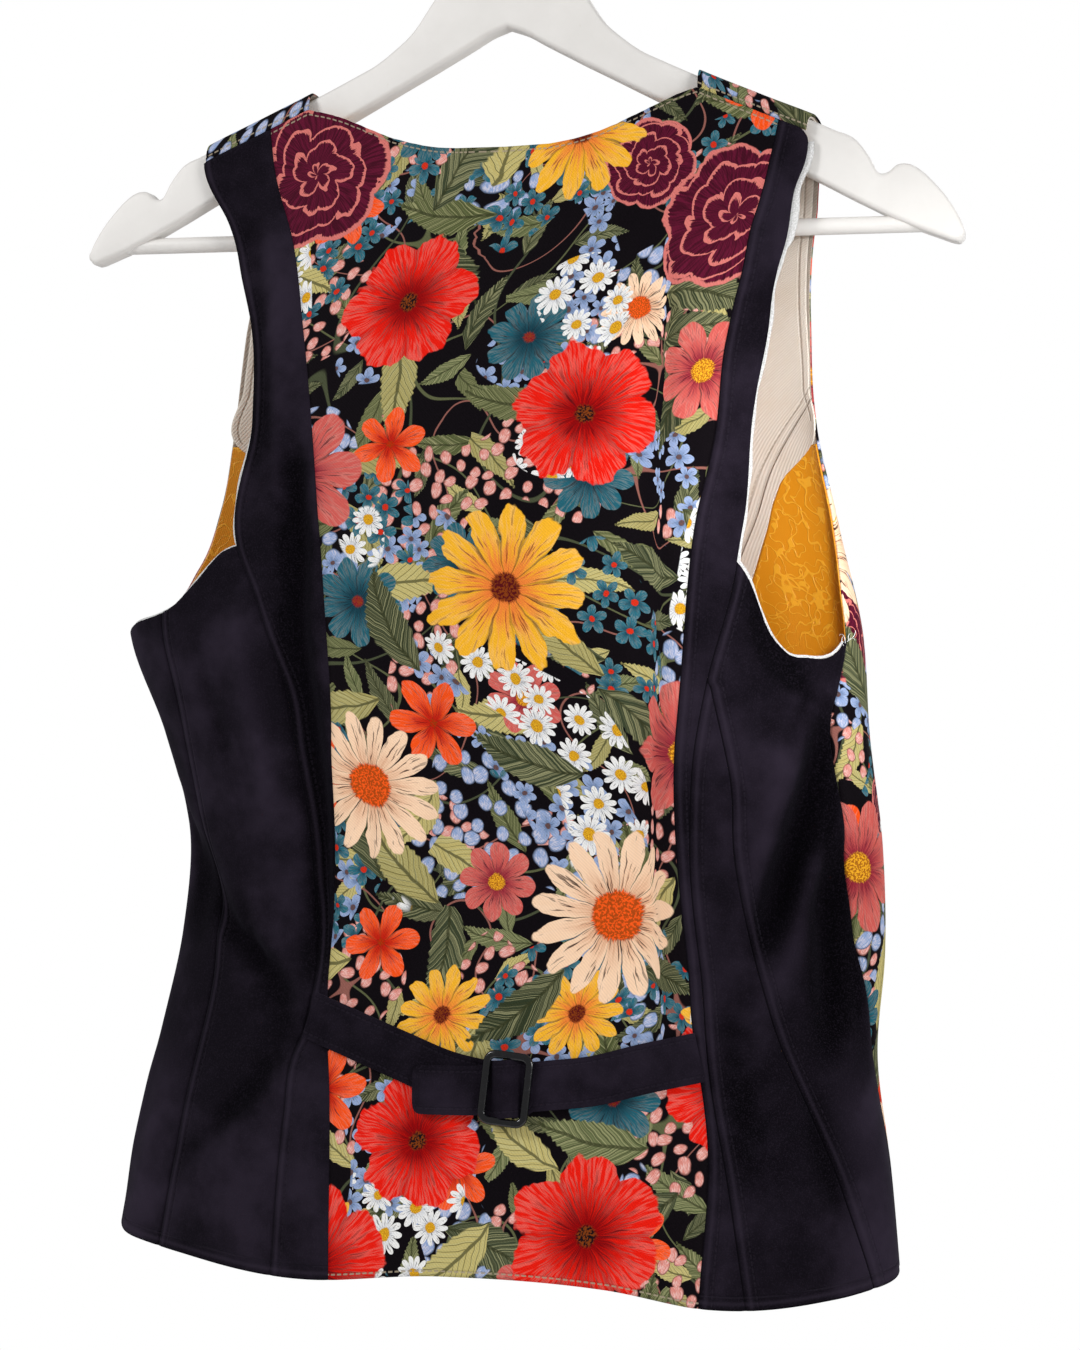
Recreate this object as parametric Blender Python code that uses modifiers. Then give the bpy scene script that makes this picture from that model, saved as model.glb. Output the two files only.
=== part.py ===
"""A woman's fitted waistcoat on a flat white wooden hanger.

The back faces -Y and the wearer's front faces +Y. The origin is the inner top of the hook,
where a rail holds it, and everything hangs below. A place on the cloth is an angle round the
body, in degrees from the centre back, and a drop below the hook, in metres.
"""

import math

import bmesh
import bpy
import numpy as np

# Cloth: walls, the gaps between cut edges and the room between layers
SUEDE = 0.0014
PRINT = 0.0012
LINING = 0.0008
STRAP = 0.0016
SEAM_GAP = 0.0004
LAYER_GAP = 0.0006
UNDER_PRINT = PRINT + LAYER_GAP + 0.0002
LOOSE = {"left": 0.0014, "right": 0.0006}
EDGE_THICK = 0.0010

# Lengths of the hung vest, as drops below the hook
SHOULDER = 0.1449
LEFT_SEAM_TOP = 0.3575
RIGHT_SEAM_TOP = 0.3685
FORK = 0.4246
SETTLED = 0.4700
SEAM_BELOW_ARM = 0.0064
CLOTH_OVER_ARM = 0.0036
ARCH_ROUND = 0.72
V_POINT = 0.4200
NECK_HALF = 0.0990
BACK_SHOULDER = {1: 0.0515, -1: 0.0560}
UNDER_HEM = 0.012
LINING_TOP = 0.3380
EDGE_SHOWN = 0.0014
EDGE_HIDDEN = 0.0050

# Hanger: board, slope of its arms, tilt on the rail, trouser bar and hook
BOARD = 0.0120
EDGE_ROUND = 0.0028
PIVOT = 0.2100
TILT = 0.0288
BAR_RADIUS = 0.0040
BAR_HALF = 0.2115
BAR_DROP = 0.2055
SOCKET_GAP = 0.0003
WIRE_RADIUS = 0.00175
HOOK_RADIUS = 0.0210
HOOK_BEND = 0.0260

# The ring of the hung vest at each drop: how far it reaches to each side, how deep it is in
# the back and in the front, and how square (2 is an ellipse)
RING = {
    "drop": (0.120, 0.160, 0.200, 0.250, 0.300, 0.350, 0.400, 0.450, 0.500, 0.550, 0.600, 0.650, 0.710),
    "left": (0.205, 0.205, 0.205, 0.201, 0.197, 0.197, 0.1989, 0.1789, 0.1655, 0.169, 0.1805, 0.192, 0.2036),
    "right": (0.205, 0.205, 0.198, 0.170, 0.1556, 0.164, 0.1752, 0.1786, 0.1845, 0.1855, 0.182, 0.188,
              0.1929),
    "back": (0.0105, 0.012, 0.017, 0.026, 0.036, 0.047, 0.056, 0.060, 0.060, 0.059, 0.063, 0.070, 0.078),
    "front": (0.0105, 0.013, 0.019, 0.029, 0.040, 0.051, 0.059, 0.061, 0.061, 0.062, 0.065, 0.070, 0.077),
    "square": (4.0, 3.8, 3.2, 2.7, 2.4, 2.3, 2.2, 2.2, 2.2, 2.2, 2.2, 2.2, 2.2),
}
SHOULDER_SLOPE = 0.40

# Cut edges of the pieces: angle from the centre back at each drop
EDGES = {
    "centre left": ((0.140, -20.4), (0.339, -17.7), (0.396, -16.8), (0.506, -24.6), (0.548, -24.4),
                    (0.622, -19.0), (0.710, -14.9)),
    "centre right": ((0.150, 27.4), (0.184, 27.1), (0.207, 29.7), (0.240, 37.3), (0.267, 41.5),
                     (0.302, 45.1), (0.350, 38.8), (0.417, 33.6), (0.502, 28.2), (0.569, 31.4),
                     (0.608, 34.9), (0.710, 33.8)),
    "strip left": ((0.150, -35.2), (0.162, -36.0), (0.192, -30.9), (0.223, -30.0), (0.246, -29.1),
                   (0.295, -30.5), (0.3575, -33.9), (0.380, -30.0), (0.423, -26.9), (0.459, -28.6),
                   (0.516, -29.6), (0.570, -26.2), (0.591, -26.2), (0.602, -27.4), (0.631, -27.0),
                   (0.710, -24.6)),
    "strip right": ((0.160, 33.6), (0.180, 34.3), (0.192, 34.0), (0.222, 40.9), (0.270, 52.3),
                    (0.293, 54.2), (0.3685, 46.6), (0.4246, 37.7), (0.498, 30.6), (0.607, 36.5),
                    (0.710, 41.9)),
    "side back left": ((0.39, -54.8), (0.421, -56.2), (0.451, -60.5), (0.508, -62.4), (0.533, -56.3),
                       (0.561, -52.7), (0.635, -51.7), (0.710, -51.4)),
    "side back right": ((0.4246, 38.3), (0.469, 39.8), (0.501, 38.6), (0.554, 43.2), (0.628, 59.1),
                        (0.710, 74.0)),
    "side left": ((0.401, -86.0), (0.450, -88.0), (0.600, -89.0), (0.710, -90.0)),
    "side right": ((0.4048, 76.2), (0.438, 68.6), (0.467, 67.6), (0.549, 71.8), (0.579, 80.8),
                   (0.610, 89.0), (0.650, 95.0), (0.710, 97.0)),
    "front armhole left": ((0.150, -145.0), (0.197, -147.4), (0.217, -146.4), (0.2295, -145.5),
                           (0.245, -142.7), (0.2724, -137.9), (0.3012, -133.0), (0.3343, -127.4),
                           (0.3657, -119.5), (0.384, -111.4), (0.394, -101.0), (0.401, -86.0)),
    "front armhole right": ((0.155, 142.5), (0.185, 143.5), (0.206, 139.6), (0.251, 122.3),
                            (0.284, 108.9), (0.311, 96.5), (0.356, 85.6), (0.383, 78.5), (0.4048, 76.2)),
    "facing left": ((0.150, -146.2), (0.197, -148.6), (0.217, -147.6), (0.245, -143.9), (0.2724, -139.1),
                    (0.3012, -134.4), (0.312, -140.5), (0.330, -145.0), (0.375, -150.0), (0.420, -153.0),
                    (0.710, -156.0)),
    "facing right": ((0.155, 143.7), (0.185, 144.7), (0.206, 140.8), (0.251, 123.5), (0.284, 110.2),
                     (0.3105, 102.7), (0.3170, 112.4), (0.3235, 120.3), (0.3345, 126.3), (0.350, 130.7),
                     (0.375, 137.2), (0.420, 148.0), (0.710, 156.0)),
}

# Upper edges that aren't along the shoulder: drop at each angle
TOPS = {
    "left": ((-86.0, 0.4010), (-80.3, 0.3995), (-68.0, 0.3945), (-54.9, 0.3900), (-50.2, 0.3863),
             (-43.8, 0.3751), (-37.1, 0.3605), (-33.9, 0.3575)),
    "right": ((46.6, 0.3685), (48.9, 0.3784), (51.6, 0.3986), (54.5, 0.4085), (61.2, 0.4130),
              (68.8, 0.4120), (76.2, 0.4048)),
}
NECKLINE = {
    "across": (0.000, 0.036, 0.0555, 0.0713, 0.089, 0.0990),
    "drop": (0.1647, 0.1625, 0.1572, 0.1505, 0.1432, 0.1403),
}
HEM = {
    "angle": (-180.0, -90.0, -70.0, -45.0, -18.0, 0.0, 12.0, 20.0, 34.0, 60.0, 75.0, 95.0, 180.0),
    "drop": (0.693, 0.694, 0.6985, 0.7015, 0.7045, 0.6972, 0.6968, 0.6985, 0.7054, 0.7031, 0.7, 0.6958,
             0.693),
}

# Creases: how far out (in below zero), half width, and the line they follow from top to bottom
FOLDS = {
    "tuck beside the centre": (-0.0055, 0.0065, ((0.217, 18.5), (0.245, 25.0), (0.302, 33.0), (0.356, 31.4),
                                                 (0.410, 29.6), (0.460, 26.2), (0.489, 24.6), (0.551, 25.2),
                                                 (0.590, 28.0))),
    "tuck lip": (0.0020, 0.0070, ((0.217, 14.5), (0.245, 20.4), (0.302, 27.4), (0.356, 25.8), (0.410, 24.2),
                                  (0.460, 21.0), (0.489, 19.6), (0.560, 20.6))),
    "soft fall left of the centre": (-0.0030, 0.0100, ((0.303, -2.7), (0.367, -2.6), (0.433, -4.1),
                                                       (0.503, -9.1), (0.575, -8.6))),
    "shadow fold left": (-0.0070, 0.0075, ((0.300, -22.4), (0.366, -21.6), (0.404, -22.4), (0.462, -25.4),
                                           (0.510, -27.4), (0.560, -26.4))),
    "shoulder ridge left": (0.0020, 0.0085, ((0.185, -22.0), (0.231, -23.1), (0.296, -24.4), (0.340, -25.2))),
    "armhole hollow left": (-0.0022, 0.0070, ((0.195, -26.2), (0.241, -27.1), (0.290, -28.4),
                                              (0.330, -30.0))),
    "blade ridge left": (0.0026, 0.0080, ((0.385, -33.0), (0.443, -35.5), (0.490, -37.0))),
    "pull to the belt left": (-0.0050, 0.0100, ((0.500, -66.0), (0.541, -51.0), (0.560, -38.5),
                                                (0.590, -30.0))),
    "pull below the belt left": (-0.0030, 0.0090, ((0.595, -29.0), (0.621, -34.6), (0.655, -47.0))),
    "waist dent left": (-0.0038, 0.0090, ((0.495, -72.0), (0.523, -66.0), (0.550, -62.0))),
    "under the right arm": (-0.0042, 0.0080, ((0.380, 50.5), (0.412, 53.0), (0.426, 58.0), (0.436, 66.0))),
    "first drag right": (-0.0095, 0.0090, ((0.440, 66.0), (0.473, 58.1), (0.505, 50.3), (0.548, 44.5))),
    "first drag lip": (0.0036, 0.0080, ((0.440, 58.0), (0.473, 50.6), (0.505, 44.2), (0.540, 41.0))),
    "second drag right": (-0.0080, 0.0085, ((0.500, 65.6), (0.524, 60.4), (0.546, 61.0), (0.590, 64.5))),
    "second drag lip": (0.0034, 0.0075, ((0.490, 62.5), (0.523, 54.4), (0.546, 50.3), (0.580, 45.0))),
    "belt hollow right": (-0.0036, 0.0090, ((0.570, 38.0), (0.604, 41.0), (0.650, 44.0))),
    "flare left": (0.0030, 0.0160, ((0.600, -60.0), (0.650, -62.0), (0.720, -64.0))),
    "flare right": (0.0030, 0.0150, ((0.600, 70.0), (0.650, 76.0), (0.720, 82.0))),
    "front hem fall left": (0.0026, 0.0200, ((0.540, -120.0), (0.620, -124.0), (0.720, -126.0))),
    "front hem fall right": (0.0024, 0.0200, ((0.520, 118.0), (0.620, 120.0), (0.720, 122.0))),
}
SEAM_PRESS = 0.40

# Half of the wooden board: how far along the arm, and the drops of its upper and under edge
BOARD_EDGE = {
    "across": (0.000, 0.010, 0.017, 0.024, 0.031, 0.039, 0.048, 0.0586, 0.067, 0.078, 0.098, 0.128, 0.161,
               0.1725, 0.178, 0.182, 0.187, 0.191, 0.196, 0.2035, 0.209, 0.2145, 0.2185, 0.2212, 0.2225),
    "top": (0.0615, 0.0620, 0.0645, 0.0705, 0.0790, 0.0905, 0.1035, 0.1130, 0.1190, 0.1245, 0.1338, 0.1468,
            0.1610, 0.1670, 0.1742, 0.1812, 0.1818, 0.1786, 0.1782, 0.1825, 0.1880, 0.1945, 0.2005, 0.2055,
            0.2090),
    "under": (0.1045, 0.1082, 0.1122, 0.1160, 0.1197, 0.1240, 0.1286, 0.1341, 0.1385, 0.1442, 0.1547, 0.1706,
              0.1881, 0.1943, 0.1971, 0.1992, 0.2017, 0.2037, 0.2060, 0.2093, 0.2114, 0.2135, 0.2148, 0.2146,
              0.2128),
}

# Straps of the back belt: across, drop and height off the cloth at points along the middle
BELT_WIDTH = 0.0225
LEFT_STRAP = {
    "across": (-0.0790, -0.0560, -0.0310, -0.0070, 0.0080, 0.0245),
    "drop": (0.5830, 0.5905, 0.5990, 0.6070, 0.6098, 0.6116),
    "off": (0.0024, 0.0025, 0.0026, 0.0026, 0.0026, 0.0026),
}
RIGHT_STRAP = {
    "across": (-0.0235, 0.0080, 0.0154, 0.0190, 0.0250, 0.0286, 0.0360, 0.0450, 0.0605, 0.0850, 0.1090),
    "drop": (0.6140, 0.6128, 0.6121, 0.6117, 0.6110, 0.6106, 0.6097, 0.6086, 0.6065, 0.6000, 0.5945),
    "off": (0.0045, 0.0045, 0.0045, 0.0085, 0.0085, 0.0045, 0.0044, 0.0036, 0.0028, 0.0026, 0.0024),
}
BUCKLE_ACROSS = 0.0220
BUCKLE_DROP = 0.6114
BUCKLE_WIDTH = 0.0240
BUCKLE_HEIGHT = 0.0340
BUCKLE_FRAME = 0.0036
BUCKLE_THICK = 0.0026
BUCKLE_EASE = 0.0006
BUCKLE_OFF = 0.0051
BUCKLE_TURN = math.radians(-5.0)

# Fastening of the front
LAP_HALF = 3.4
LAP_RISE = 0.0036
BUTTON_DROPS = (0.440, 0.500, 0.560, 0.620)
BUTTON_RADIUS = 0.0075
BUTTON_THICK = 0.0030

# Plain colours of the materials
BLACK = (0.018, 0.015, 0.024)
FLORAL = (0.30, 0.12, 0.08)
CREAM = (0.66, 0.60, 0.51)
MUSTARD = (0.62, 0.40, 0.06)
WHITE = (0.80, 0.79, 0.77)

# How many columns a piece has, and the drops of the rows
COLUMNS = {"strip": 5, "middle": 8, "side": 6, "front": 13, "facing": 6, "lining": 8}
ROWS = (SHOULDER, 0.160, 0.178, 0.198, 0.220, 0.244, 0.268, 0.292, 0.316, 0.338, LEFT_SEAM_TOP,
        RIGHT_SEAM_TOP, 0.382, 0.396, 0.410, FORK, 0.441, 0.458, 0.475, 0.492, 0.509, 0.527, 0.546,
        0.566, 0.586, 0.607, 0.630, 0.654, 0.677, 0.698)


def smooth(places, values, at):
    """Values read off a table by a smooth curve through its rows."""
    places = np.asarray(places, float)
    values = np.asarray(values, float)
    at = np.clip(np.asarray(at, float), places[0], places[-1])
    row = np.clip(np.searchsorted(places, at) - 1, 0, len(places) - 2)
    step = places[row + 1] - places[row]
    part = (at - places[row]) / step
    slope = np.gradient(values, places)
    return (
        (2 * part**3 - 3 * part**2 + 1) * values[row]
        + (part**3 - 2 * part**2 + part) * step * slope[row]
        + (3 * part**2 - 2 * part**3) * values[row + 1]
        + (part**3 - part**2) * step * slope[row + 1]
    )


def rise(at, start, end):
    """0 before start, 1 after end and an even S between."""
    part = np.clip((np.asarray(at, float) - start) / (end - start), 0, 1)
    return part * part * (3 - 2 * part)


def ring(name, drop):
    return smooth(RING["drop"], RING[name], drop)


def edge(name, drop):
    rows = np.array(EDGES[name])
    return smooth(rows[:, 0], rows[:, 1], drop)


def body_level(across, drop):
    """The drop at which the ring's depth is read: the cloth deepens along the sloping arms."""
    hung = 1 - rise(drop, 0.16, 0.40)
    return drop - (SHOULDER_SLOPE * np.maximum(np.abs(across) - 0.09, 0) + TILT * across) * hung


def body(angle, drop):
    """The hung body without creases, as points in a trailing axis."""
    angle = np.asarray(angle, float)
    drop = np.asarray(drop, float) + 0 * angle
    left, right = ring("left", drop), ring("right", drop)
    turn = np.radians(angle)
    level = drop
    for _ in range(4):
        square = ring("square", level)
        reach = np.sign(np.sin(turn)) * np.abs(np.sin(turn)) ** (2 / square)
        across = (right - left) / 2 + (right + left) / 2 * reach
        level = body_level(across, drop)
    depth = np.where(np.cos(turn) > 0, ring("back", level), ring("front", level))
    along = -depth * np.sign(np.cos(turn)) * np.abs(np.cos(turn)) ** (2 / square)
    return np.stack([across, along, -drop], axis=-1)


def angle_at(across, drop):
    """The back's angle at a distance across."""
    left, right = ring("left", drop), ring("right", drop)
    square = ring("square", body_level(across, drop))
    share = (across - (right - left) / 2) / ((right + left) / 2)
    return np.degrees(np.arcsin(np.sign(share) * np.abs(share) ** (square / 2)))


def per_degree(angle, drop):
    """Metres of cloth to a degree of turn."""
    return np.linalg.norm(body(angle + 0.5, drop) - body(angle - 0.5, drop), axis=-1)


def outward(angle, drop):
    """Unit normals of the hung body."""
    turned = body(angle + 0.5, drop) - body(angle - 0.5, drop)
    fallen = body(angle, drop + 0.002) - body(angle, drop - 0.002)
    normal = np.cross(fallen, turned)
    return normal / np.linalg.norm(normal, axis=-1, keepdims=True)


def creases(angle, drop):
    """How far the folds push the cloth out."""
    scale = per_degree(angle, drop)
    pushed = np.zeros_like(scale)
    for deep, half_width, line in FOLDS.values():
        line = np.array(line)
        start, end = line[0, 0], line[-1, 0]
        fade = min(0.030, (end - start) * 0.4)
        shown = rise(drop, start - fade / 2, start + fade) * (1 - rise(drop, end - fade, end + fade / 2))
        away = (angle - smooth(line[:, 0], line[:, 1], drop)) * scale / half_width
        pushed = pushed + deep * shown * np.exp(-away * away)
    return pushed


def cloth(angle, drop, off=0.0):
    """Points on the creased cloth, moved off it along the normal."""
    angle = np.asarray(angle, float)
    drop = np.asarray(drop, float) + 0 * angle
    return body(angle, drop) + outward(angle, drop) * (creases(angle, drop) + off)[..., None]


def arm_top(across):
    """Drop of the wooden arm's upper edge, with the hanger turned about its pivot."""
    across = np.asarray(across, float)
    along_arm = across
    for _ in range(3):
        height = PIVOT - smooth(BOARD_EDGE["across"], BOARD_EDGE["top"], np.abs(along_arm))
        along_arm = (across - height * math.sin(TILT)) / math.cos(TILT)
    return PIVOT + along_arm * math.sin(TILT) - height * math.cos(TILT)


def shoulder_seam(across):
    return arm_top(across) + SEAM_BELOW_ARM


def back_top(angle, drop):
    """Drop of the back's upper edge: the neckline between the neck points, then the shoulder seam."""
    across = body(angle, drop)[..., 0]
    neck = smooth(NECKLINE["across"], NECKLINE["drop"], np.abs(across)) + TILT * across
    point = np.sign(across) * NECK_HALF
    neck_end = NECKLINE["drop"][-1] + TILT * point
    neck = neck + (shoulder_seam(point) - neck_end) * rise(np.abs(across), 0.075, NECK_HALF)
    return np.where(np.abs(across) < NECK_HALF, neck, shoulder_seam(across))


def hem(angle):
    return smooth(HEM["angle"], HEM["drop"], angle)


def first_drop(column_angle, top):
    """The drop at which a column of the grid meets its upper edge."""
    drops = np.linspace(0.12, 0.44, 641)
    above = drops - top(column_angle(drops), drops)
    first = int(np.argmax(above > 0))
    share = above[first - 1] / (above[first - 1] - above[first])
    return drops[first - 1] + share * (drops[first] - drops[first - 1])


def inset(angle, drop, gap, way):
    """An edge moved into its piece by half a seam gap."""
    return angle + way * gap / 2 / per_degree(angle, drop)


def panel_places(low, high, shares, top, start, shift=None):
    """Angles and drops of a panel's grid: rows by columns.

    low and high give the angle of each side at a drop, top the upper edge at an angle and drop,
    and start the row that the top belongs to. Rows meet those of the neighbours along a seam.
    """
    rows = np.array([row for row in ROWS if row > start - 0.0001])
    rows[-1] = ROWS[-1]
    settled = 0.22 if start < 0.2 else SETTLED
    easing = 1 - np.clip((rows - start) / (settled - start), 0, 1)
    angles = np.empty((len(rows), len(shares)))
    drops = np.empty_like(angles)
    for column, share in enumerate(shares):
        def column_angle(drop, share=share):
            return (1 - share) * low(drop) + share * high(drop)

        first = first_drop(column_angle, top)
        drop = rows + (first - start) * easing
        if shift is not None:
            drop = drop + shift(rows, share)
        end = hem(column_angle(drop[-1]))
        drop = drop + (end - drop[-1]) * rise(drop, 0.62, drop[-1])
        drops[:, column] = drop
        angles[:, column] = column_angle(drop)
    return angles, drops


def mesh_from(points, name):
    """A mesh of quads through a grid of points, with its outer face out."""
    rows, columns = points.shape[:2]
    faces = [
        (
            row * columns + column, (row + 1) * columns + column,
            (row + 1) * columns + column + 1, row * columns + column + 1,
        )
        for row in range(rows - 1)
        for column in range(columns - 1)
    ]
    mesh = bpy.data.meshes.new(name)
    mesh.from_pydata([tuple(point) for point in points.reshape(-1, 3)], [], faces)
    mesh.update()
    return mesh


def thicken(name, points, thickness, colour, roughness):
    """A cloth piece: the grid is its outer face, and the wall goes inward."""
    item = bpy.data.objects.new(name, mesh_from(points, name))
    parts.objects.link(item)
    wall = item.modifiers.new("wall", "SOLIDIFY")
    wall.thickness = thickness
    wall.offset = -1
    wall.use_even_offset = False
    pressed = item.vertex_groups.new(name="wall")
    rows, columns = points.shape[:2]
    for row in range(rows):
        for column in range(columns):
            at_seam = column in (0, columns - 1)
            pressed.add([row * columns + column], SEAM_PRESS if at_seam else 1.0, "REPLACE")
    wall.vertex_group = pressed.name
    item.data.shade_smooth()
    item.data.set_sharp_from_angle(angle=math.radians(50))
    finish(item, colour, roughness)
    return item


def finish(item, colour, roughness, metallic=0.0):
    material = bpy.data.materials.new(item.name)
    material.use_nodes = True
    surface = material.node_tree.nodes["Principled BSDF"]
    surface.inputs["Base Color"].default_value = (*colour, 1)
    surface.inputs["Roughness"].default_value = roughness
    surface.inputs["Metallic"].default_value = metallic
    item.data.materials.append(material)


for old in list(bpy.data.objects):
    bpy.data.objects.remove(old, do_unlink=True)
parts = bpy.data.collections.new("vest_on_hanger")
bpy.context.scene.collection.children.link(parts)
cutters = bpy.data.collections.new("cutters")
bpy.context.scene.collection.children.link(cutters)



def side_of(name, way, gap=SEAM_GAP):
    """A named edge as a function of the drop, moved into its piece."""
    return lambda drop: inset(edge(name, drop), drop, gap, way)


def top_of(side):
    rows = np.array(TOPS[side])
    return lambda angle, drop: smooth(rows[:, 0], rows[:, 1], angle)


def even(count):
    return np.linspace(0, 1, count)


# Back panels, from the centre outwards
centre_shares = np.concatenate([[0, 0.035], np.linspace(0.09, 0.68, 9), np.linspace(0.68, 1, 8)[1:]])
angles, drops = panel_places(
    side_of("centre left", 1), side_of("centre right", -1), centre_shares, back_top, SHOULDER
)
thicken("back_centre", cloth(angles, drops), SUEDE, FLORAL, 0.8)

angles, drops = panel_places(
    side_of("strip left", 1), side_of("centre left", -1), even(COLUMNS["strip"]), back_top, SHOULDER
)
thicken("back_strip_left", cloth(angles, drops), SUEDE, BLACK, 0.9)

angles, drops = panel_places(
    side_of("centre right", 1), side_of("strip right", -1), even(COLUMNS["strip"]), back_top, SHOULDER
)
thicken("back_strip_right", cloth(angles, drops), SUEDE, BLACK, 0.9)

angles, drops = panel_places(
    side_of("side back left", 1), side_of("strip left", -1), even(COLUMNS["middle"]),
    top_of("left"), LEFT_SEAM_TOP,
)
thicken("back_middle_left", cloth(angles, drops), SUEDE, BLACK, 0.9)

angles, drops = panel_places(
    side_of("side left", 1), side_of("side back left", -1), even(COLUMNS["side"]),
    top_of("left"), LEFT_SEAM_TOP,
)
thicken("back_side_left", cloth(angles, drops), SUEDE, BLACK, 0.9)

def fork_top(angle, drop):
    return FORK + 0 * angle


angles, drops = panel_places(
    side_of("strip right", 1), side_of("side back right", -1), even(COLUMNS["middle"] - 1), fork_top, FORK
)
thicken("back_middle_right", cloth(angles, drops), SUEDE, BLACK, 0.9)


def side_panel_start(drop):
    """The right side panel begins at the princess seam and, below the fork, at its own seam."""
    return np.where(drop < FORK, edge("strip right", drop), edge("side back right", drop))


angles, drops = panel_places(
    lambda drop: inset(side_panel_start(drop), drop, SEAM_GAP, 1),
    side_of("side right", -1), even(COLUMNS["side"] + 3), top_of("right"), RIGHT_SEAM_TOP,
)
thicken("back_side_right", cloth(angles, drops), SUEDE, BLACK, 0.9)


# Fronts: from the shoulder seam over the arm, then down to the hem
def on_front(across, side, drop):
    """The front's angle at a distance across."""
    return side * 180 - angle_at(across, drop)


def inner_edge(side, pulled_back):
    """The V of the neck and, below it, the edge where the fronts overlap."""
    def angle_of(drop):
        share_down = np.clip((drop - SHOULDER) / (V_POINT - SHOULDER), 0, 1)
        across = (NECK_HALF + pulled_back) * (1 - share_down**0.92)
        vee = on_front(side * (across + pulled_back), side, drop)
        lapped = side * (180 + LAP_HALF) - side * np.degrees(pulled_back / 0.06)
        return vee + (lapped - vee) * rise(drop, V_POINT - 0.060, V_POINT)
    return angle_of


def outer_edge(side, gap=SEAM_GAP):
    """The front's armhole and, below the arm, its side seam."""
    name = "right" if side > 0 else "left"
    under_arm = EDGES["side " + name][0][0]

    def angle_of(drop):
        along = np.where(drop < under_arm, edge("front armhole " + name, drop), edge("side " + name, drop))
        return inset(along, drop, gap, side)
    return angle_of


def lowered_rows(side):
    """Rows sink towards the side seam, so that they meet the rows of the side back."""
    seam_top = RIGHT_SEAM_TOP if side > 0 else LEFT_SEAM_TOP
    under_arm = EDGES["side right" if side > 0 else "side left"][0][0]

    def shift(rows, share):
        beside = (1 - share if side > 0 else share) ** 2
        sunk = np.where(rows < seam_top, rise(rows, 0.20, seam_top), (SETTLED - rows) / (SETTLED - seam_top))
        return (under_arm - seam_top) * np.clip(sunk, 0, 1) * beside
    return shift


def lifted(angle, drop, side):
    """The right front lies over the left one."""
    if side < 0:
        return 0 * angle
    return LAP_RISE * rise(np.abs(angle), 156, 171) * rise(drop, V_POINT - 0.090, V_POINT - 0.010)


def over_arm(places, off, side):
    """The arch of cloth over the wooden arm, from the shoulder seam at the back to the first front row."""
    angles, drops = places
    first_row = cloth(angles[0], drops[0])
    reach = first_row[:, 0]
    inner = np.abs(reach) - NECK_HALF
    back_reach = side * (NECK_HALF + inner * BACK_SHOULDER[side] / inner.max())
    start = math.asin((SEAM_GAP / (SEAM_BELOW_ARM + CLOTH_OVER_ARM)) ** (1 / ARCH_ROUND))
    rows = []
    for turn in np.linspace(math.pi - start, 0, 8)[:-1]:
        across = reach + (back_reach - reach) * turn / math.pi
        seam = shoulder_seam(across)
        back = body(angle_at(across, seam), seam)[:, 1]
        front = body(on_front(across, side, seam), seam)[:, 1]
        width = (front - back) / 2 - off
        height = SEAM_BELOW_ARM + CLOTH_OVER_ARM - off
        along = (front + back) / 2 + width * math.copysign(abs(math.cos(turn)) ** ARCH_ROUND, math.cos(turn))
        rows.append(np.stack([across, along, -seam + height * math.sin(turn) ** ARCH_ROUND], axis=-1))
    return np.array(rows)


def front_top(angle, drop):
    return shoulder_seam(body(angle, drop)[..., 0])


def front_grid(side, off):
    """Angles and points of a front, on a face that lies off inside the form, with the arch on top."""
    name = "right" if side > 0 else "left"
    low, high = (outer_edge(side), inner_edge(side, 0.0))[::side]
    angles, drops = panel_places(low, high, even(COLUMNS["front"]), front_top, SHOULDER, lowered_rows(side))
    points = cloth(angles, drops, lifted(angles, drops, side) - off)
    arch = over_arm((angles, drops), off, side)
    repeated = np.repeat(angles[:1], len(arch), axis=0)
    all_drops = np.concatenate([repeated * 0 + drops[0], drops])
    return np.concatenate([repeated, angles]), all_drops, np.concatenate([arch, points])


def under_front(name, grid, low, high, columns, first_drop_of, colour, roughness):
    """A layer inside a front, on the same rows as the print, from one edge to another."""
    angles, drops, points = grid
    rows = []
    for row_angles, row_drops, row_points in zip(angles, drops, points):
        drop = row_drops.mean()
        for _ in range(3):
            ends = np.array([low(drop), high(drop)])
            drop = np.interp(ends, row_angles, row_drops)
            ends = np.array([low(drop[0]), high(drop[1])])
            drop = drop.mean()
        if drop < first_drop_of:
            continue
        wanted = ends[0] + (ends[1] - ends[0]) * even(columns)
        places = [np.interp(wanted, row_angles, row_points[:, axis]) for axis in range(3)]
        rows.append(np.stack(places, axis=-1))
    rows = np.array(rows)
    rows[-1] = rows[-1] + (rows[-2] - rows[-1]) * UNDER_HEM / (ROWS[-1] - ROWS[-2])
    return thicken(name, rows, LINING, colour, roughness)


for side, name in ((1, "right"), (-1, "left")):
    thicken("front_" + name, front_grid(side, 0.0)[2], PRINT, FLORAL, 0.8)

    inside = front_grid(side, UNDER_PRINT)
    facing_line = side_of("facing " + name, side)
    low, high = (facing_line, inner_edge(side, 0.002))[::side]
    under_front("facing_" + name, inside, low, high, COLUMNS["facing"], 0.0, CREAM, 0.85)

    loose = front_grid(side, UNDER_PRINT + LOOSE[name])
    low, high = (outer_edge(side, 0.004), side_of("facing " + name, -side))[::side]
    under_front("lining_" + name, loose, low, high, COLUMNS["lining"], LINING_TOP, MUSTARD, 0.6)


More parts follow.
